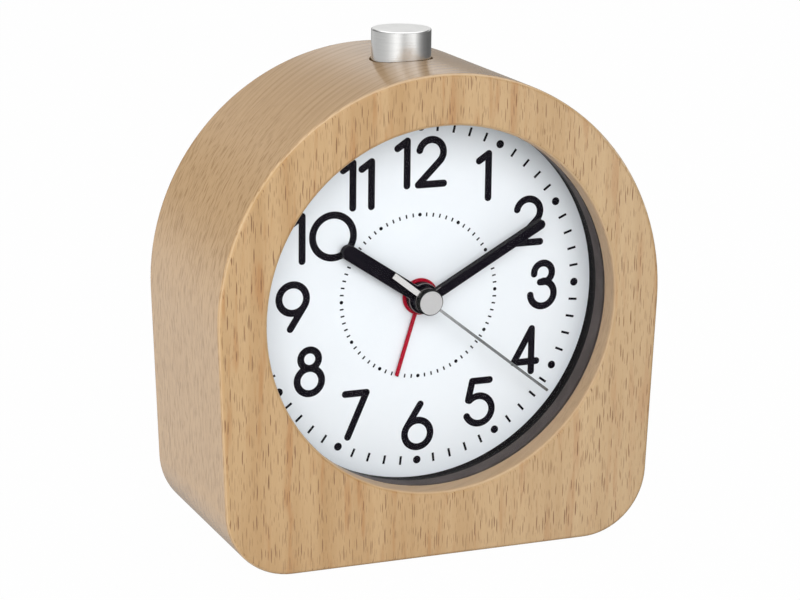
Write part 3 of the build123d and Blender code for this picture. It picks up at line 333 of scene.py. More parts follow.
def calculate(tree, operation, first, second):
    result = add_node(tree, "ShaderNodeMath", operation=operation)
    for socket, value in zip(result.inputs, (first, second)):
        if isinstance(value, (int, float)):
            socket.default_value = value
        else:
            tree.links.new(value, socket)
    return result.outputs["Value"]


def times(tree, value, factor):
    return calculate(tree, "MULTIPLY", value, factor)


def absolute(tree, value):
    return calculate(tree, "ABSOLUTE", value, 0.0)


def grey(level):
    return (level, level, level)


def toned(colour, share):
    """Colour made darker or lighter by a share."""
    return tuple(share * part for part in colour)


def blend_colours(tree, amount, first, second):
    """Colour that goes from the first to the second as the amount goes from 0 to 1."""
    mix = add_node(tree, "ShaderNodeMix", data_type="RGBA")
    tree.links.new(amount, mix.inputs["Factor"])
    for socket, colour in ((mix.inputs[6], first), (mix.inputs[7], second)):
        if isinstance(colour, tuple):
            socket.default_value = (*colour, 1.0)
        else:
            tree.links.new(colour, socket)
    return mix.outputs[2]


def blend_surfaces(tree, amount, first, second):
    """Surface that goes from the first shader to the second as the amount goes from 0 to 1."""
    mix = add_node(tree, "ShaderNodeMixShader")
    tree.links.new(amount, mix.inputs["Fac"])
    tree.links.new(first, mix.inputs[1])
    tree.links.new(second, mix.inputs[2])
    tree.links.new(mix.outputs["Shader"], tree.nodes["Material Output"].inputs["Surface"])


def add_bump(tree, shader, height, depth):
    """Surface relief of a depth in millimetres."""
    bump = add_node(tree, "ShaderNodeBump")
    bump.inputs["Strength"].default_value = 1.0
    bump.inputs["Distance"].default_value = depth * MM
    tree.links.new(height, bump.inputs["Height"])
    tree.links.new(bump.outputs["Normal"], shader.inputs["Normal"])


def facing_axes(tree):
    """How squarely the surface faces along X, Y and Z."""
    place = add_node(tree, "ShaderNodeTexCoord")
    facing = add_node(tree, "ShaderNodeSeparateXYZ")
    tree.links.new(place.outputs["Normal"], facing.inputs["Vector"])
    return facing.outputs


def away_from(tree, start):
    """Way from a starting point to the surface, in metres."""
    place = add_node(tree, "ShaderNodeTexCoord")
    away = add_node(tree, "ShaderNodeVectorMath", operation="SUBTRACT")
    tree.links.new(place.outputs["Object"], away.inputs[0])
    away.inputs[1].default_value = start
    return away.outputs["Vector"]


def distance_along(tree, start, way):
    """Distance in metres from a starting point in one direction."""
    run = add_node(tree, "ShaderNodeVectorMath", operation="DOT_PRODUCT")
    tree.links.new(away_from(tree, start), run.inputs[0])
    run.inputs[1].default_value = way
    return run.outputs["Value"]


def distance_from_hub(tree):
    """Distance in metres from the axis that the hands turn on."""
    across = add_node(tree, "ShaderNodeVectorMath", operation="MULTIPLY")
    tree.links.new(away_from(tree, HUB), across.inputs[0])
    across.inputs[1].default_value = (1, 0, 1)
    reach = add_node(tree, "ShaderNodeVectorMath", operation="LENGTH")
    tree.links.new(across.outputs["Vector"], reach.inputs[0])
    return reach.outputs["Value"]


def sloping_edge(tree, begins, ends):
    """1 on edges that slope between the front and the sides, 0 on flat faces."""
    frontal = absolute(tree, facing_axes(tree)["Y"])
    off_front = calculate(tree, "SUBTRACT", 1.0, ramp(tree, frontal, *ends))
    return times(tree, ramp(tree, frontal, *begins), off_front)


# Finishes
def beech():
    """Clear-lacquered beech with upright grain and growth layers a little askew to the front."""
    material, tree, shader = new_material("beech_finish")
    facing = facing_axes(tree)
    frontal = absolute(tree, facing["Y"])
    outside = fade(tree, distance_from_hub(tree), WINDOW_EDGE)
    side_colour = side_wood(tree, facing["Z"], outside)
    colour = blend_colours(tree, ramp(tree, frontal, *FRONT_WOOD), side_colour, front_wood(tree))
    # Painted highlight: a paler colour along the rounded edges, where they would catch the light.
    edge_highlight = times(tree, sloping_edge(tree, EDGE_HIGHLIGHT_BEGINS, EDGE_HIGHLIGHT_ENDS), EDGE_HIGHLIGHT_SHARE)
    colour = blend_colours(tree, edge_highlight, colour, EDGE_HIGHLIGHT)

    bold = ray_flecks(tree, *BOLD_FLECKS)
    faint = times(tree, ray_flecks(tree, *FAINT_FLECKS), FAINT_FLECK_SHARE)
    flecks = calculate(tree, "MAXIMUM", bold, faint)
    on_front = times(tree, ramp(tree, frontal, *FRONT_FLECKS), FRONT_FLECK_SHARE)
    sideways = absolute(tree, facing["X"])
    on_sides = times(tree, ramp(tree, sideways, *SIDE_FLECKS), SIDE_FLECK_SHARE)
    showing = calculate(tree, "ADD", on_front, on_sides)
    colour = blend_colours(tree, times(tree, flecks, showing), colour, FLECK_BROWN)

    fibres = noise(tree, FIBRE_SIZE, detail=3.0, roughness=0.7)
    grain = times(tree, ramp(tree, fibres, low=0.3, high=0.75), FIBRE_SHARE)
    colour = blend_colours(tree, grain, colour, DEEP_BEECH)
    tree.links.new(colour, shader.inputs["Base Color"])
    lacquer = spread(tree, fibres, *LACQUER_ROUGHNESS)
    dull = calculate(tree, "ADD", lacquer, spread(tree, outside, WINDOW_DULLNESS, 0.0))
    tree.links.new(dull, shader.inputs["Roughness"])
    coat = spread(tree, outside, COAT_IN_WINDOW, COAT_OUTSIDE)
    tree.links.new(coat, shader.inputs["Coat Weight"])
    shader.inputs["Coat Roughness"].default_value = COAT_ROUGHNESS
    add_bump(tree, shader, calculate(tree, "SUBTRACT", fibres, flecks), GRAIN_RELIEF)
    return material


def front_wood(tree):
    """Pale wood with deeper streaks and orange patches, paler and less saturated towards the right."""
    streaks = ramp(tree, noise(tree, STREAK_SIZE, detail=4.0), low=0.3, high=0.72)
    colour = blend_colours(tree, streaks, PALE_BEECH, DEEP_BEECH)
    patches = ramp(tree, noise(tree, PATCH_SIZE, detail=2.0), low=0.52, high=0.72)
    colour = blend_colours(tree, times(tree, patches, PATCH_SHARE), colour, ORANGE_BEECH)
    # Paler and less saturated towards the right.
    rightward = distance_along(tree, HUB, Vector((1, 0, 0)))
    paler_rightward = times(tree, fade(tree, rightward, RIGHTWARD_PALE_RUN), RIGHTWARD_PALE_SHARE)
    return blend_colours(tree, paler_rightward, colour, RIGHTWARD_PALE)


def side_wood(tree, upward, outside):
    """Wood of the sides and the top, with a tan tint on the wall of the window."""
    layers = growth_layers(tree, ramp(tree, upward, *TOP_LINES))
    colour = blend_colours(tree, layers, SIDE_PALE, SIDE_DEEP)
    return blend_colours(tree, spread(tree, outside, WINDOW_SHARE, 0.0), colour, WINDOW_TAN)


def growth_layers(tree, top):
    """Yearly layers: long lines on the top, short dashes on the sides."""
    rings = add_node(tree, "ShaderNodeTexWave", bands_direction="Y", wave_profile="SAW")
    year = LAYER_PITCH * WAVES_PER_UNIT
    tree.links.new(pattern_space(tree, (year, year, year), LAYER_TURN), rings.inputs["Vector"])
    rings.inputs["Scale"].default_value = 1.0
    rings.inputs["Distortion"].default_value = 1.6
    rings.inputs["Detail"].default_value = 1.0
    rings.inputs["Detail Scale"].default_value = 0.25
    late_wood = ramp(tree, rings.outputs["Fac"], low=0.45, high=1.0)
    fine_lines = noise(tree, LINE_SIZE, detail=3.0, roughness=0.6, turn=LAYER_TURN)
    lines = ramp(tree, fine_lines, low=0.4, high=0.68)
    long_lines = times(tree, calculate(tree, "ADD", late_wood, lines), LONG_LINE_SHARE)
    short_marks = noise(tree, DASH_SIZE, detail=2.0, roughness=0.5, turn=LAYER_TURN)
    dashes = times(tree, ramp(tree, short_marks, low=0.46, high=0.70), DASH_SHARE)
    short_lines = calculate(tree, "ADD", dashes, times(tree, lines, LINES_AMONG_DASHES))
    both = add_node(tree, "ShaderNodeMix")
    tree.links.new(top, both.inputs["Factor"])
    tree.links.new(short_lines, both.inputs["A"])
    tree.links.new(long_lines, both.inputs["B"])
    return both.outputs["Result"]


def ray_flecks(tree, pitch, run, least, most):
    """Short upright dashes of uneven length and depth; pitch and run in millimetres."""
    place = add_node(tree, "ShaderNodeTexCoord")
    axes = add_node(tree, "ShaderNodeSeparateXYZ")
    tree.links.new(place.outputs["Object"], axes.inputs["Vector"])
    across = calculate(tree, "ADD", axes.outputs["X"], axes.outputs["Y"])
    sway = times(tree, noise(tree, SWAY_SIZE, detail=2.0), FLECK_SWAY)
    spot = add_node(tree, "ShaderNodeCombineXYZ")
    column = calculate(tree, "DIVIDE", across, pitch * MM)
    tree.links.new(calculate(tree, "ADD", column, sway), spot.inputs["X"])
    row = calculate(tree, "DIVIDE", axes.outputs["Z"], run * MM)
    tree.links.new(row, spot.inputs["Y"])
    cells = add_node(tree, "ShaderNodeTexVoronoi", voronoi_dimensions="2D")
    cells.inputs["Scale"].default_value = 1.0
    tree.links.new(spot.outputs["Vector"], cells.inputs["Vector"])
    chance = add_node(tree, "ShaderNodeSeparateColor")
    tree.links.new(cells.outputs["Color"], chance.inputs["Color"])
    reach = spread(tree, chance.outputs["Red"], least, most)
    inside = calculate(tree, "SUBTRACT", reach, cells.outputs["Distance"])
    dashes = ramp(tree, inside, low=0.0, high=FLECK_FADE)
    return times(tree, dashes, spread(tree, chance.outputs["Green"], *FLECK_DEPTHS))


def moulded_plastic(name, colour, roughness, texture=0.006, shade=0.88):
    """Plastic with the fine matt texture of its mould and a slight change of tone."""
    material, tree, shader = new_material(name)
    tone = ramp(tree, noise(tree, PLASTIC_TONE_SIZE, detail=4.0), *TONE_STEP)
    tinted = blend_colours(tree, tone, toned(colour, shade), colour)
    tree.links.new(tinted, shader.inputs["Base Color"])
    pits = noise(tree, MOULD_PITS, detail=2.0)
    matt = spread(tree, pits, low=roughness - 0.06, high=roughness + 0.06)
    tree.links.new(matt, shader.inputs["Roughness"])
    add_bump(tree, shader, pits, texture)
    return material


def satin_metal(name, colour, roughness, grain=METAL_GRAIN, depth=0.002, shade=0.93):
    """Metal with a fine even grain."""
    material, tree, shader = new_material(name)
    shader.inputs["Metallic"].default_value = 1.0
    scratches = noise(tree, grain, detail=3.0)
    tone = ramp(tree, scratches, *TONE_STEP)
    tinted = blend_colours(tree, tone, toned(colour, shade), colour)
    tree.links.new(tinted, shader.inputs["Base Color"])
    satin = spread(tree, scratches, low=roughness - 0.04, high=roughness + 0.04)
    tree.links.new(satin, shader.inputs["Roughness"])
    add_bump(tree, shader, scratches, depth)
    return material


def gloss_paint(name, colour, roughness, shine=0.5, light=1.15):
    """Sprayed paint with a faint ripple."""
    material, tree, shader = new_material(name)
    ripple = noise(tree, PAINT_RIPPLE, detail=3.0)
    tone = ramp(tree, ripple, *TONE_STEP)
    tinted = blend_colours(tree, tone, colour, toned(colour, light))
    tree.links.new(tinted, shader.inputs["Base Color"])
    shader.inputs["Roughness"].default_value = roughness
    shader.inputs["Specular IOR Level"].default_value = shine
    add_bump(tree, shader, ripple, depth=0.003)
    return material


def turned_button():
    """Aluminium with the fine rings of the lathe round its side and a blasted matt top."""
    silver = (0.86, 0.86, 0.85)
    material = satin_metal("button_aluminium", silver, roughness=0.18, grain=LATHE_RINGS, depth=0.008)
    tree, shader = nodes_of(material)
    top = ramp(tree, facing_axes(tree)["Z"], *BLASTED_TOP)
    blasted = spread(tree, top, low=0.0, high=0.45)
    dull = calculate(tree, "ADD", fed_to(shader, "Roughness"), blasted)
    tree.links.new(dull, shader.inputs["Roughness"])
    return material


def second_hand_metal():
    """Satin silver cap, a brighter tail and a slim pointer that darkens outwards, with painted shade
    and dark reflection in black on the rim and sloping faces.
    """
    cap_silver = (0.57, 0.565, 0.565)
    tail_silver = (0.69, 0.68, 0.67)
    pointer_grey = (0.34, 0.35, 0.35)
    tip_grey = (0.18, 0.19, 0.19)
    rim_painted_shade = (0.02, 0.02, 0.02)
    material = satin_metal("second_hand_silver", cap_silver, roughness=0.28)
    tree, shader = nodes_of(material)
    outward = distance_along(tree, HUB, POINTER_WAY)
    tail = fade(tree, times(tree, outward, -1.0), TAIL_START)
    colour = blend_colours(tree, tail, fed_to(shader, "Base Color"), tail_silver)
    colour = blend_colours(tree, fade(tree, outward, POINTER_START), colour, pointer_grey)
    colour = blend_colours(tree, fade(tree, outward, POINTER_DARKENING), colour, tip_grey)
    # Painted shade and dark reflection: faces that do not face squarely to the front are painted black
    # and are not metal.
    flat = ramp(tree, absolute(tree, facing_axes(tree)["Y"]), *FLAT_SILVER)
    colour = blend_colours(tree, flat, rim_painted_shade, colour)
    tree.links.new(colour, shader.inputs["Base Color"])
    tree.links.new(flat, shader.inputs["Metallic"])
    shader.inputs["Specular IOR Level"].default_value = 0.0
    return material


def black_hand_paint():
    """Black paint with little shine, with painted grey highlights along the edges, lightest on the
    hubs.
    """
    hub_highlight_grey = (0.22, 0.20, 0.20)
    arm_highlight_grey = (0.035, 0.034, 0.036)
    material = gloss_paint("hand_black_paint", (0.004, 0.003, 0.006), roughness=0.3, shine=0.03)
    tree, shader = nodes_of(material)
    arm = fade(tree, distance_from_hub(tree), HUB_EDGE)
    edge_highlight_grey = blend_colours(tree, arm, hub_highlight_grey, arm_highlight_grey)
    # Painted highlight: sloping edges are painted grey where they would catch the light, lighter on the
    # hubs.
    edges = sloping_edge(tree, HAND_HIGHLIGHT_BEGINS, HAND_HIGHLIGHT_ENDS)
    colour = blend_colours(tree, edges, fed_to(shader, "Base Color"), edge_highlight_grey)
    tree.links.new(colour, shader.inputs["Base Color"])
    return material


def ring_with_painted_shade():
    """Dark brown-grey plastic ring, with painted shade beside the dial: black where its groove lies in
    shadow.
    """
    brown_grey = (0.122, 0.103, 0.099)
    black = (0.004, 0.003, 0.004)
    material = moulded_plastic("ring_plastic", brown_grey, roughness=0.45, texture=0.003, shade=0.75)
    tree, shader = nodes_of(material)
    shader.inputs["Specular IOR Level"].default_value = 0.02
    # Painted shade: the ring's wall is painted black for the last millimetres before the dial, where
    # its groove lies in shadow.
    edge = HUB - Vector((0, PAINTED_SHADE_DEPTH * MM, 0))
    painted_shade = fade(tree, distance_along(tree, edge, Vector((0, 1, 0))), PAINTED_SHADE_EDGE)
    colour = blend_colours(tree, painted_shade, fed_to(shader, "Base Color"), black)
    tree.links.new(colour, shader.inputs["Base Color"])
    return material


def clear_lens():
    """Clear acrylic that lets the lamps through to the dial."""
    material, tree, shader = new_material("clear_acrylic")
    shader.inputs["Base Color"].default_value = (0.995, 0.998, 1.0, 1.0)
    shader.inputs["Roughness"].default_value = 0.02
    shader.inputs["IOR"].default_value = 1.1
    shader.inputs["Transmission Weight"].default_value = 1.0
    ray = add_node(tree, "ShaderNodeLightPath").outputs
    passing = calculate(tree, "MAXIMUM", ray["Is Shadow Ray"], ray["Is Diffuse Ray"])
    open_way = add_node(tree, "ShaderNodeBsdfTransparent")
    blend_surfaces(tree, passing, shader.outputs["BSDF"], open_way.outputs["BSDF"])
    return material


def dial_card():
    """Coated white card, a little blue, with a faint tooth."""
    blue_white = (0.850, 0.897, 0.940)
    paler_white = (0.862, 0.909, 0.952)
    material, tree, shader = new_material("dial_card")
    tone = ramp(tree, noise(tree, CARD_TONE_SIZE, detail=3.0), *TONE_STEP)
    colour = blend_colours(tree, tone, blue_white, paler_white)
    tree.links.new(colour, shader.inputs["Base Color"])
    shader.inputs["Roughness"].default_value = 0.6
    add_bump(tree, shader, noise(tree, CARD_TOOTH, detail=2.0), depth=0.002)
    return material


# Finish of each material slot
FINISHES = {
    "beech": beech(),
    "clear_lens": clear_lens(),
    "ring_grey": ring_with_painted_shade(),
    "dial_white": dial_card(),
    "housing_black": moulded_plastic("shell_plastic", (0.020, 0.020, 0.021), 0.5),
    "movement_plastic": moulded_plastic("movement_plastic", (0.62, 0.64, 0.64), 0.45),
    "wheel_plastic": moulded_plastic("wheel_plastic", (0.78, 0.74, 0.62), 0.4, texture=0.003),
    "steel": satin_metal("bright_steel", (0.62, 0.62, 0.63), 0.3),
    "magnet": satin_metal("magnet_grey", (0.26, 0.26, 0.27), 0.5),
    "copper_wire": satin_metal("copper_wire", (0.74, 0.32, 0.16), 0.32, grain=WIRE_TURNS, depth=0.01),
    "board_green": moulded_plastic("board_green", (0.030, 0.145, 0.060), 0.4, texture=0.003),
    "chip_black": moulded_plastic("chip_resin", (0.012, 0.012, 0.013), 0.3, texture=0.004),
    "knob_black": moulded_plastic("knob_plastic", (0.046, 0.046, 0.048), 0.32),
    "cover_black": moulded_plastic("cover_plastic", (0.028, 0.028, 0.029), 0.5, texture=0.012),
    "cell_jacket": gloss_paint("cell_jacket", (0.060, 0.075, 0.095), 0.35),
    "button_aluminium": turned_button(),
    "hand_red": gloss_paint("hand_red_paint", (0.360, 0.004, 0.020), 0.4, shine=0.15),
    "hand_black": black_hand_paint(),
    "hand_silver": second_hand_metal(),
}


def dress_nodes():
    """Each piece gets the finish of its material slot."""
    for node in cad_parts.values():
        for slot in node.material_slots:
            slot.material = FINISHES[slot.material.name.split(".")[0]]


# Printing on the dial, drawn flat in millimetres with x to the right and y up
def polar(centre, radius, angle):
    """Point at a radius and an angle in degrees from a centre."""
    turn = math.radians(angle)
    return (centre[0] + radius * math.cos(turn), centre[1] + radius * math.sin(turn))


def touching_angle(centre, radius, point, side):
    """Angle at which a straight line from a point touches a circle, on one side of it."""
    away = Vector(point) - Vector(centre)
    turn = math.degrees(math.acos(radius / away.length))
    return math.degrees(math.atan2(away.y, away.x)) + side * turn


def ink_dot(bm, place, size, level):
    disc = bmesh.ops.create_circle(bm, cap_ends=True, segments=DOT_SIDES, radius=size / 2)
    bmesh.ops.translate(bm, verts=disc["verts"], vec=(*place, level))


def ink_bar(bm, start, end, width, level):
    """Straight stroke with square ends."""
    run = Vector(end) - Vector(start)
    turn = Matrix.Rotation(math.atan2(run.y, run.x), 4, "Z")
    middle = (Vector(start) + Vector(end)) / 2
    place = Matrix.Translation((*middle, level)) @ turn @ Matrix.Diagonal((run.length, width, 1, 1))
    bmesh.ops.create_grid(bm, x_segments=1, y_segments=1, size=0.5, matrix=place)


def ink_line(bm, start, end, level):
    """Straight stroke with round ends."""
    ink_bar(bm, start, end, STROKE, level)
    ink_dot(bm, start, STROKE, level + INK_LEVEL_STEP)
    ink_dot(bm, end, STROKE, level + 2 * INK_LEVEL_STEP)


def ink_arc(bm, centre, radius, start, sweep, level):
    """Round stroke from a start angle through a sweep, in degrees, anticlockwise from the right."""
    inner = bm.verts.new((centre[0] + radius - STROKE / 2, centre[1], level))
    outer = bm.verts.new((centre[0] + radius + STROKE / 2, centre[1], level))
    edge = bm.edges.new((inner, outer))
    pivot = Vector((*centre, 0))
    turn = Matrix.Rotation(math.radians(start), 3, "Z")
    bmesh.ops.rotate(bm, verts=[inner, outer], cent=pivot, matrix=turn)
    whole = abs(sweep) >= 360
    bmesh.ops.spin(
        bm,
        geom=[inner, outer, edge],
        cent=pivot,
        axis=(0, 0, 1),
        angle=math.radians(sweep),
        steps=max(LEAST_ARC_STEPS, round(abs(sweep) / ARC_STEP)),
        use_merge=whole,
    )
    if not whole:
        for step, angle in enumerate((start, start + sweep)):
            ink_dot(bm, polar(centre, radius, angle), STROKE, level + (step + 1) * INK_LEVEL_STEP)


def draw_zero(bm, level):
    ink_arc(bm, (0, 0), ZERO_RADIUS, 0, 360, level)


def draw_one(bm, level):
    top = (1.03, HALF_DIGIT)
    ink_line(bm, top, (1.03, -HALF_DIGIT), level)
    ink_line(bm, top, (-1.17, 3.35), level + NEXT_STROKE)


def draw_two(bm, level):
    centre, radius, start = (0.07, 2.05), 2.75, 168
    foot = (-2.9, -HALF_DIGIT)
    end = touching_angle(centre, radius, foot, 1)
    ink_arc(bm, centre, radius, start, end - start, level)
    ink_line(bm, polar(centre, radius, end), foot, level + NEXT_STROKE)
    ink_line(bm, foot, (2.95, -HALF_DIGIT), level + 2 * NEXT_STROKE)


def draw_three(bm, level):
    ink_arc(bm, (0.2, 2.68), 2.12, 185, -275, level)
    ink_arc(bm, (0.05, -2.0), 2.8, 85, -262, level + NEXT_STROKE)
    ink_line(bm, (-0.45, 0.6), (0.3, 0.6), level + 2 * NEXT_STROKE)


def draw_four(bm, level):
    top, corner = (1.53, HALF_DIGIT), (-2.65, -2.58)
    ink_line(bm, top, corner, level)
    ink_line(bm, corner, (2.75, -2.58), level + NEXT_STROKE)
    ink_line(bm, top, (1.53, -HALF_DIGIT), level + 2 * NEXT_STROKE)


def draw_five(bm, level):
    corner, waist = (-1.8, HALF_DIGIT), (-2.7, 0.6)
    ink_line(bm, corner, (2.3, HALF_DIGIT), level)
    ink_line(bm, corner, waist, level + NEXT_STROKE)
    ink_arc(bm, (-0.2, -1.75), 3.1, 134, -289, level + 2 * NEXT_STROKE)


def draw_six(bm, level):
    centre, radius, top = (0.0, -1.8), 3.0, (0.6, HALF_DIGIT)
    ink_arc(bm, centre, radius, 0, 360, level)
    touch = polar(centre, radius, touching_angle(centre, radius, top, 1))
    ink_line(bm, touch, top, level + NEXT_STROKE)


def draw_seven(bm, level):
    corner = (2.4, HALF_DIGIT)
    ink_line(bm, (-2.45, HALF_DIGIT), corner, level)
    ink_line(bm, corner, (-1.85, -HALF_DIGIT), level + NEXT_STROKE)


def draw_eight(bm, level):
    ink_arc(bm, (0.05, 2.78), 2.02, 0, 360, level)
    ink_arc(bm, (0.0, -2.02), 2.78, 0, 360, level + NEXT_STROKE)


def draw_nine(bm, level):
    centre, radius, foot = (-0.1, 1.72), 3.08, (-0.65, -HALF_DIGIT)
    ink_arc(bm, centre, radius, 0, 360, level)
    touch = polar(centre, radius, touching_angle(centre, radius, foot, 1))
    ink_line(bm, touch, foot, level + NEXT_STROKE)


# Digits of each numeral with their places left or right of the numeral's middle
NUMERALS = {
    1: ((draw_one, 0.2),),
    2: ((draw_two, 0.2),),
    3: ((draw_three, 0.0),),
    4: ((draw_four, 0.15),),
    5: ((draw_five, 0.15),),
    6: ((draw_six, 0.05),),
    7: ((draw_seven, 0.2),),
    8: ((draw_eight, 0.2),),
    9: ((draw_nine, 0.4),),
    10: ((draw_one, -2.55), (draw_zero, 5.4)),
    11: ((draw_one, -1.85), (draw_one, 2.35)),
    12: ((draw_one, -4.1), (draw_two, 2.4)),
}


def raise_ink(bm):
    """Flat drawing given its thickness and set on the face of the dial."""
    raised = bmesh.ops.extrude_face_region(bm, geom=bm.faces[:])
    top = [part for part in raised["geom"] if isinstance(part, bmesh.types.BMVert)]
    bmesh.ops.translate(bm, verts=top, vec=(0, 0, INK_THICKNESS))
    bmesh.ops.recalc_face_normals(bm, faces=bm.faces[:])
    place = Matrix.Translation((0, DIAL_FACE_Y, HANDS_Z))
    place = place @ Matrix.Rotation(math.pi / 2, 4, "X") @ Matrix.Scale(MM, 4)
    bmesh.ops.transform(bm, matrix=place, verts=bm.verts[:])


def make_object(name, bm, material):
    mesh = bpy.data.meshes.new(name)
    bm.to_mesh(mesh)
    bm.free()
    made = bpy.data.objects.new(name, mesh)
    bpy.context.scene.collection.objects.link(made)
    mesh.materials.append(material)
    return made


def add_piece(name, bm, material, body):
    piece = make_object(name, bm, material)
    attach(piece, body)
    return piece


def hand_angle(part):
    """Angle on the dial of a part of a whole turn, clockwise from the top."""
    return 90 - 360 * part


def print_numerals(ink):
    bm = bmesh.new()
    for hour, digits in NUMERALS.items():
        middle = polar((0, 0), NUMERAL_RADIUS, hand_angle(hour / HOURS))
        for draw, shift in digits:
            before = set(bm.verts)
            draw(bm, 0.0)
            drawn = [vert for vert in bm.verts if vert not in before]
            bmesh.ops.translate(bm, verts=drawn, vec=(middle[0] + shift, middle[1], 0))
    raise_ink(bm)
    add_piece("dial_numerals", bm, ink, "clock")


def print_track(name, ink, radius, marks_per_hour, dot_size, tick_length, tick_width):
    """Ring of dots at the hours with ticks between them."""
    bm = bmesh.new()
    marks = HOURS * marks_per_hour
    for mark in range(marks):
        angle = hand_angle(mark / marks)
        if mark % marks_per_hour == 0:
            ink_dot(bm, polar((0, 0), radius, angle), dot_size, 0.0)
        else:
            inner = polar((0, 0), radius - tick_length / 2, angle)
            outer = polar((0, 0), radius + tick_length / 2, angle)
            ink_bar(bm, inner, outer, tick_width, 0.0)
    raise_ink(bm)
    add_piece(name, bm, ink, "clock")


def print_dial():
    ink = gloss_paint("dial_ink", (0.005, 0.004, 0.007), roughness=0.5, shine=0.04)
    print_numerals(ink)
    print_track(
        "minute_track",
        ink,
        MINUTE_TRACK_RADIUS,
        MINUTE_MARKS_PER_HOUR,
        HOUR_DOT_SIZE,
        MINUTE_TICK_LENGTH,
        MINUTE_TICK_WIDTH,
    )
    print_track(
        "alarm_track",
        ink,
        ALARM_TRACK_RADIUS,
        ALARM_MARKS_PER_HOUR,
        ALARM_DOT_SIZE,
        ALARM_TICK_LENGTH,
        ALARM_TICK_WIDTH,
    )


def wind_spring():
    """Coil of round wire between the button's foot and its board."""
    low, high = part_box("button_spring")
    middle = (low + high) / 2
    wire = SPRING_WIRE * MM / 2
    radius = (high.x - low.x) / 2 - wire
    steps = SPRING_TURNS * SPRING_STEPS_PER_TURN
    climb = (high.z - low.z - 2 * wire) / steps
    bm = bmesh.new()
    section = bmesh.ops.create_circle(bm, cap_ends=False, segments=WIRE_SIDES, radius=wire)["verts"]
    upright = Matrix.Rotation(math.pi / 2, 4, "X")
    start = Matrix.Translation((middle.x + radius, middle.y, low.z + wire)) @ upright
    bmesh.ops.transform(bm, matrix=start, verts=section)
    bmesh.ops.spin(
        bm,
        geom=section + bm.edges[:],
        cent=(middle.x, middle.y, 0),
        axis=(0, 0, 1),
        dvec=(0, 0, climb),
        angle=2 * math.pi * SPRING_TURNS,
        steps=steps,
    )
    bmesh.ops.holes_fill(bm, edges=[edge for edge in bm.edges if edge.is_boundary], sides=0)
    bmesh.ops.recalc_face_normals(bm, faces=bm.faces[:])
    for face in bm.faces:
        face.smooth = len(face.verts) == 4
    coil = add_piece("spring_coil", bm, FINISHES["steel"], "clock")
    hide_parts("button_spring")
    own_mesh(coil)


# Room round the clock
def studio_walls(tree):
    """Brightness of the room in each direction: walls, a lit panel behind and a lit ceiling."""
    place = add_node(tree, "ShaderNodeTexCoord")
    split = add_node(tree, "ShaderNodeSeparateXYZ")
    tree.links.new(place.outputs["Generated"], split.inputs["Vector"])
    rightward, backward, upward = split.outputs
    compass = calculate(tree, "ARCTAN2", backward, rightward)
    turn = calculate(tree, "ADD", calculate(tree, "DIVIDE", compass, 2 * math.pi), 0.5)
    walls = add_node(tree, "ShaderNodeValToRGB")
    tree.links.new(turn, walls.inputs["Fac"])
    stops = walls.color_ramp.elements
    while len(stops) < len(STUDIO_WALLS):
        stops.new(0.5)
    for stop, (angle, brightness) in zip(stops, STUDIO_WALLS):
        stop.position = angle / 360 + 0.5
        stop.color = (*grey(brightness), 1.0)
    behind = ramp(tree, backward, *BACK_HALF)
    high_up = ramp(tree, upward, *WALL_TOP_ROWS)
    dim_behind = times(tree, ramp(tree, upward, *DIM_ROWS_BEHIND), behind)
    wall_top = calculate(tree, "MAXIMUM", high_up, dim_behind)
    light = blend_colours(tree, wall_top, walls.outputs["Color"], grey(WALL_TOP_LIGHT))
    right_behind = times(tree, behind, ramp(tree, rightward, *PANEL_LEFT_END))
    lit_rows = calculate(tree, "SUBTRACT", ramp(tree, upward, *PANEL_ROWS), high_up)
    panel = times(tree, lit_rows, right_behind)
    light = blend_colours(tree, panel, light, grey(BACK_PANEL_LIGHT))
    return blend_colours(tree, ramp(tree, upward, *CEILING_ROWS), light, grey(CEILING_LIGHT))


def light_room():
    """White to the eye, an even soft light, and lit and dark walls in mirrors."""
    world = bpy.data.worlds.new("studio")
    bpy.context.scene.world = world
    world.use_nodes = True
    tree = world.node_tree
    ray = add_node(tree, "ShaderNodeLightPath").outputs
    light = blend_colours(tree, ray["Is Glossy Ray"], grey(ROOM_LIGHT), studio_walls(tree))
    light = blend_colours(tree, ray["Is Camera Ray"], light, grey(1.0))
    tree.links.new(light, tree.nodes["Background"].inputs["Color"])


def add_lamp(name, place, size, power):
    """Soft box that shines on the clock and is not seen in mirrors."""
    lamp = bpy.data.lights.new(name, "AREA")
    lamp.shape = "RECTANGLE"
    lamp.size, lamp.size_y = size
    lamp.energy = power
    holder = bpy.data.objects.new(name, lamp)
    bpy.context.scene.collection.objects.link(holder)
    holder.location = place
    holder.rotation_euler = (Vector(LAMP_AIM) - Vector(place)).to_track_quat("-Z", "Y").to_euler()
    holder.visible_glossy = False


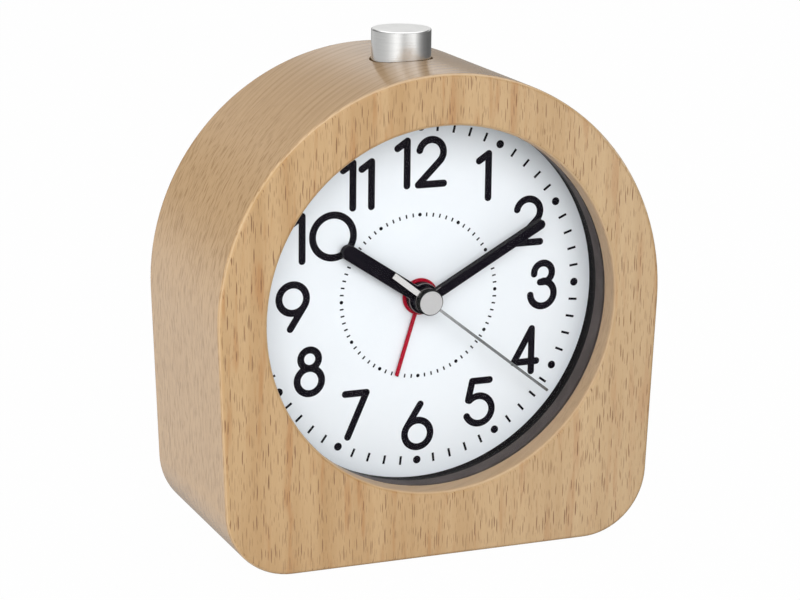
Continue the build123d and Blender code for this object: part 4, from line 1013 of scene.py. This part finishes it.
def lay_table():
    """Pale table top that looks white and keeps a faint shadow."""
    material, tree, shader = new_material("pale_table")
    darker, lighter = TABLE_GREY
    shade = noise(tree, TABLE_TONE_SIZE, detail=2.0)
    colour = blend_colours(tree, shade, grey(darker), grey(lighter))
    tree.links.new(colour, shader.inputs["Base Color"])
    shader.inputs["Roughness"].default_value = TABLE_ROUGHNESS
    ray = add_node(tree, "ShaderNodeLightPath").outputs
    straight = calculate(tree, "MAXIMUM", ray["Is Camera Ray"], ray["Is Transmission Ray"])
    white = add_node(tree, "ShaderNodeEmission")
    whiteness = times(tree, straight, TABLE_WHITENESS)
    blend_surfaces(tree, whiteness, shader.outputs["BSDF"], white.outputs["Emission"])
    bm = bmesh.new()
    bmesh.ops.create_grid(bm, x_segments=1, y_segments=1, size=TABLE_REACH)
    table = make_object("table_top", bm, material)
    table.visible_glossy = False


def set_camera():
    azimuth, elevation = CAMERA_AZIMUTH, CAMERA_ELEVATION
    back = Vector((
        math.sin(azimuth) * math.cos(elevation),
        -math.cos(azimuth) * math.cos(elevation),
        math.sin(elevation),
    ))
    level = Vector((math.cos(azimuth), math.sin(azimuth), 0))
    rise = back.cross(level)
    right = math.cos(CAMERA_ROLL) * level + math.sin(CAMERA_ROLL) * rise
    up = math.cos(CAMERA_ROLL) * rise - math.sin(CAMERA_ROLL) * level
    aim = Vector((CAMERA_AIM_X * MM, FRONT_Y, CAMERA_AIM_Z * MM))
    turn = Matrix((right, up, back)).transposed().to_4x4()
    camera = bpy.data.cameras.new("camera")
    camera.sensor_width = SENSOR_WIDTH
    camera.lens = FOCAL_PIXELS * SENSOR_WIDTH / IMAGE_WIDTH
    camera.shift_x = -HALF_PIXEL / IMAGE_WIDTH
    camera.shift_y = HALF_PIXEL / IMAGE_WIDTH
    camera.clip_start = CAMERA_NEAR
    camera.clip_end = CAMERA_FAR
    holder = bpy.data.objects.new("camera", camera)
    bpy.context.scene.collection.objects.link(holder)
    holder.matrix_world = Matrix.Translation(aim + back * CAMERA_DISTANCE * MM) @ turn
    bpy.context.scene.camera = holder


dress_nodes()
print_dial()
wind_spring()
light_room()
for name, place, size, power in LAMPS:
    add_lamp(name, place, size, power)
lay_table()
set_camera()
bpy.context.scene.view_settings.view_transform = "Standard"
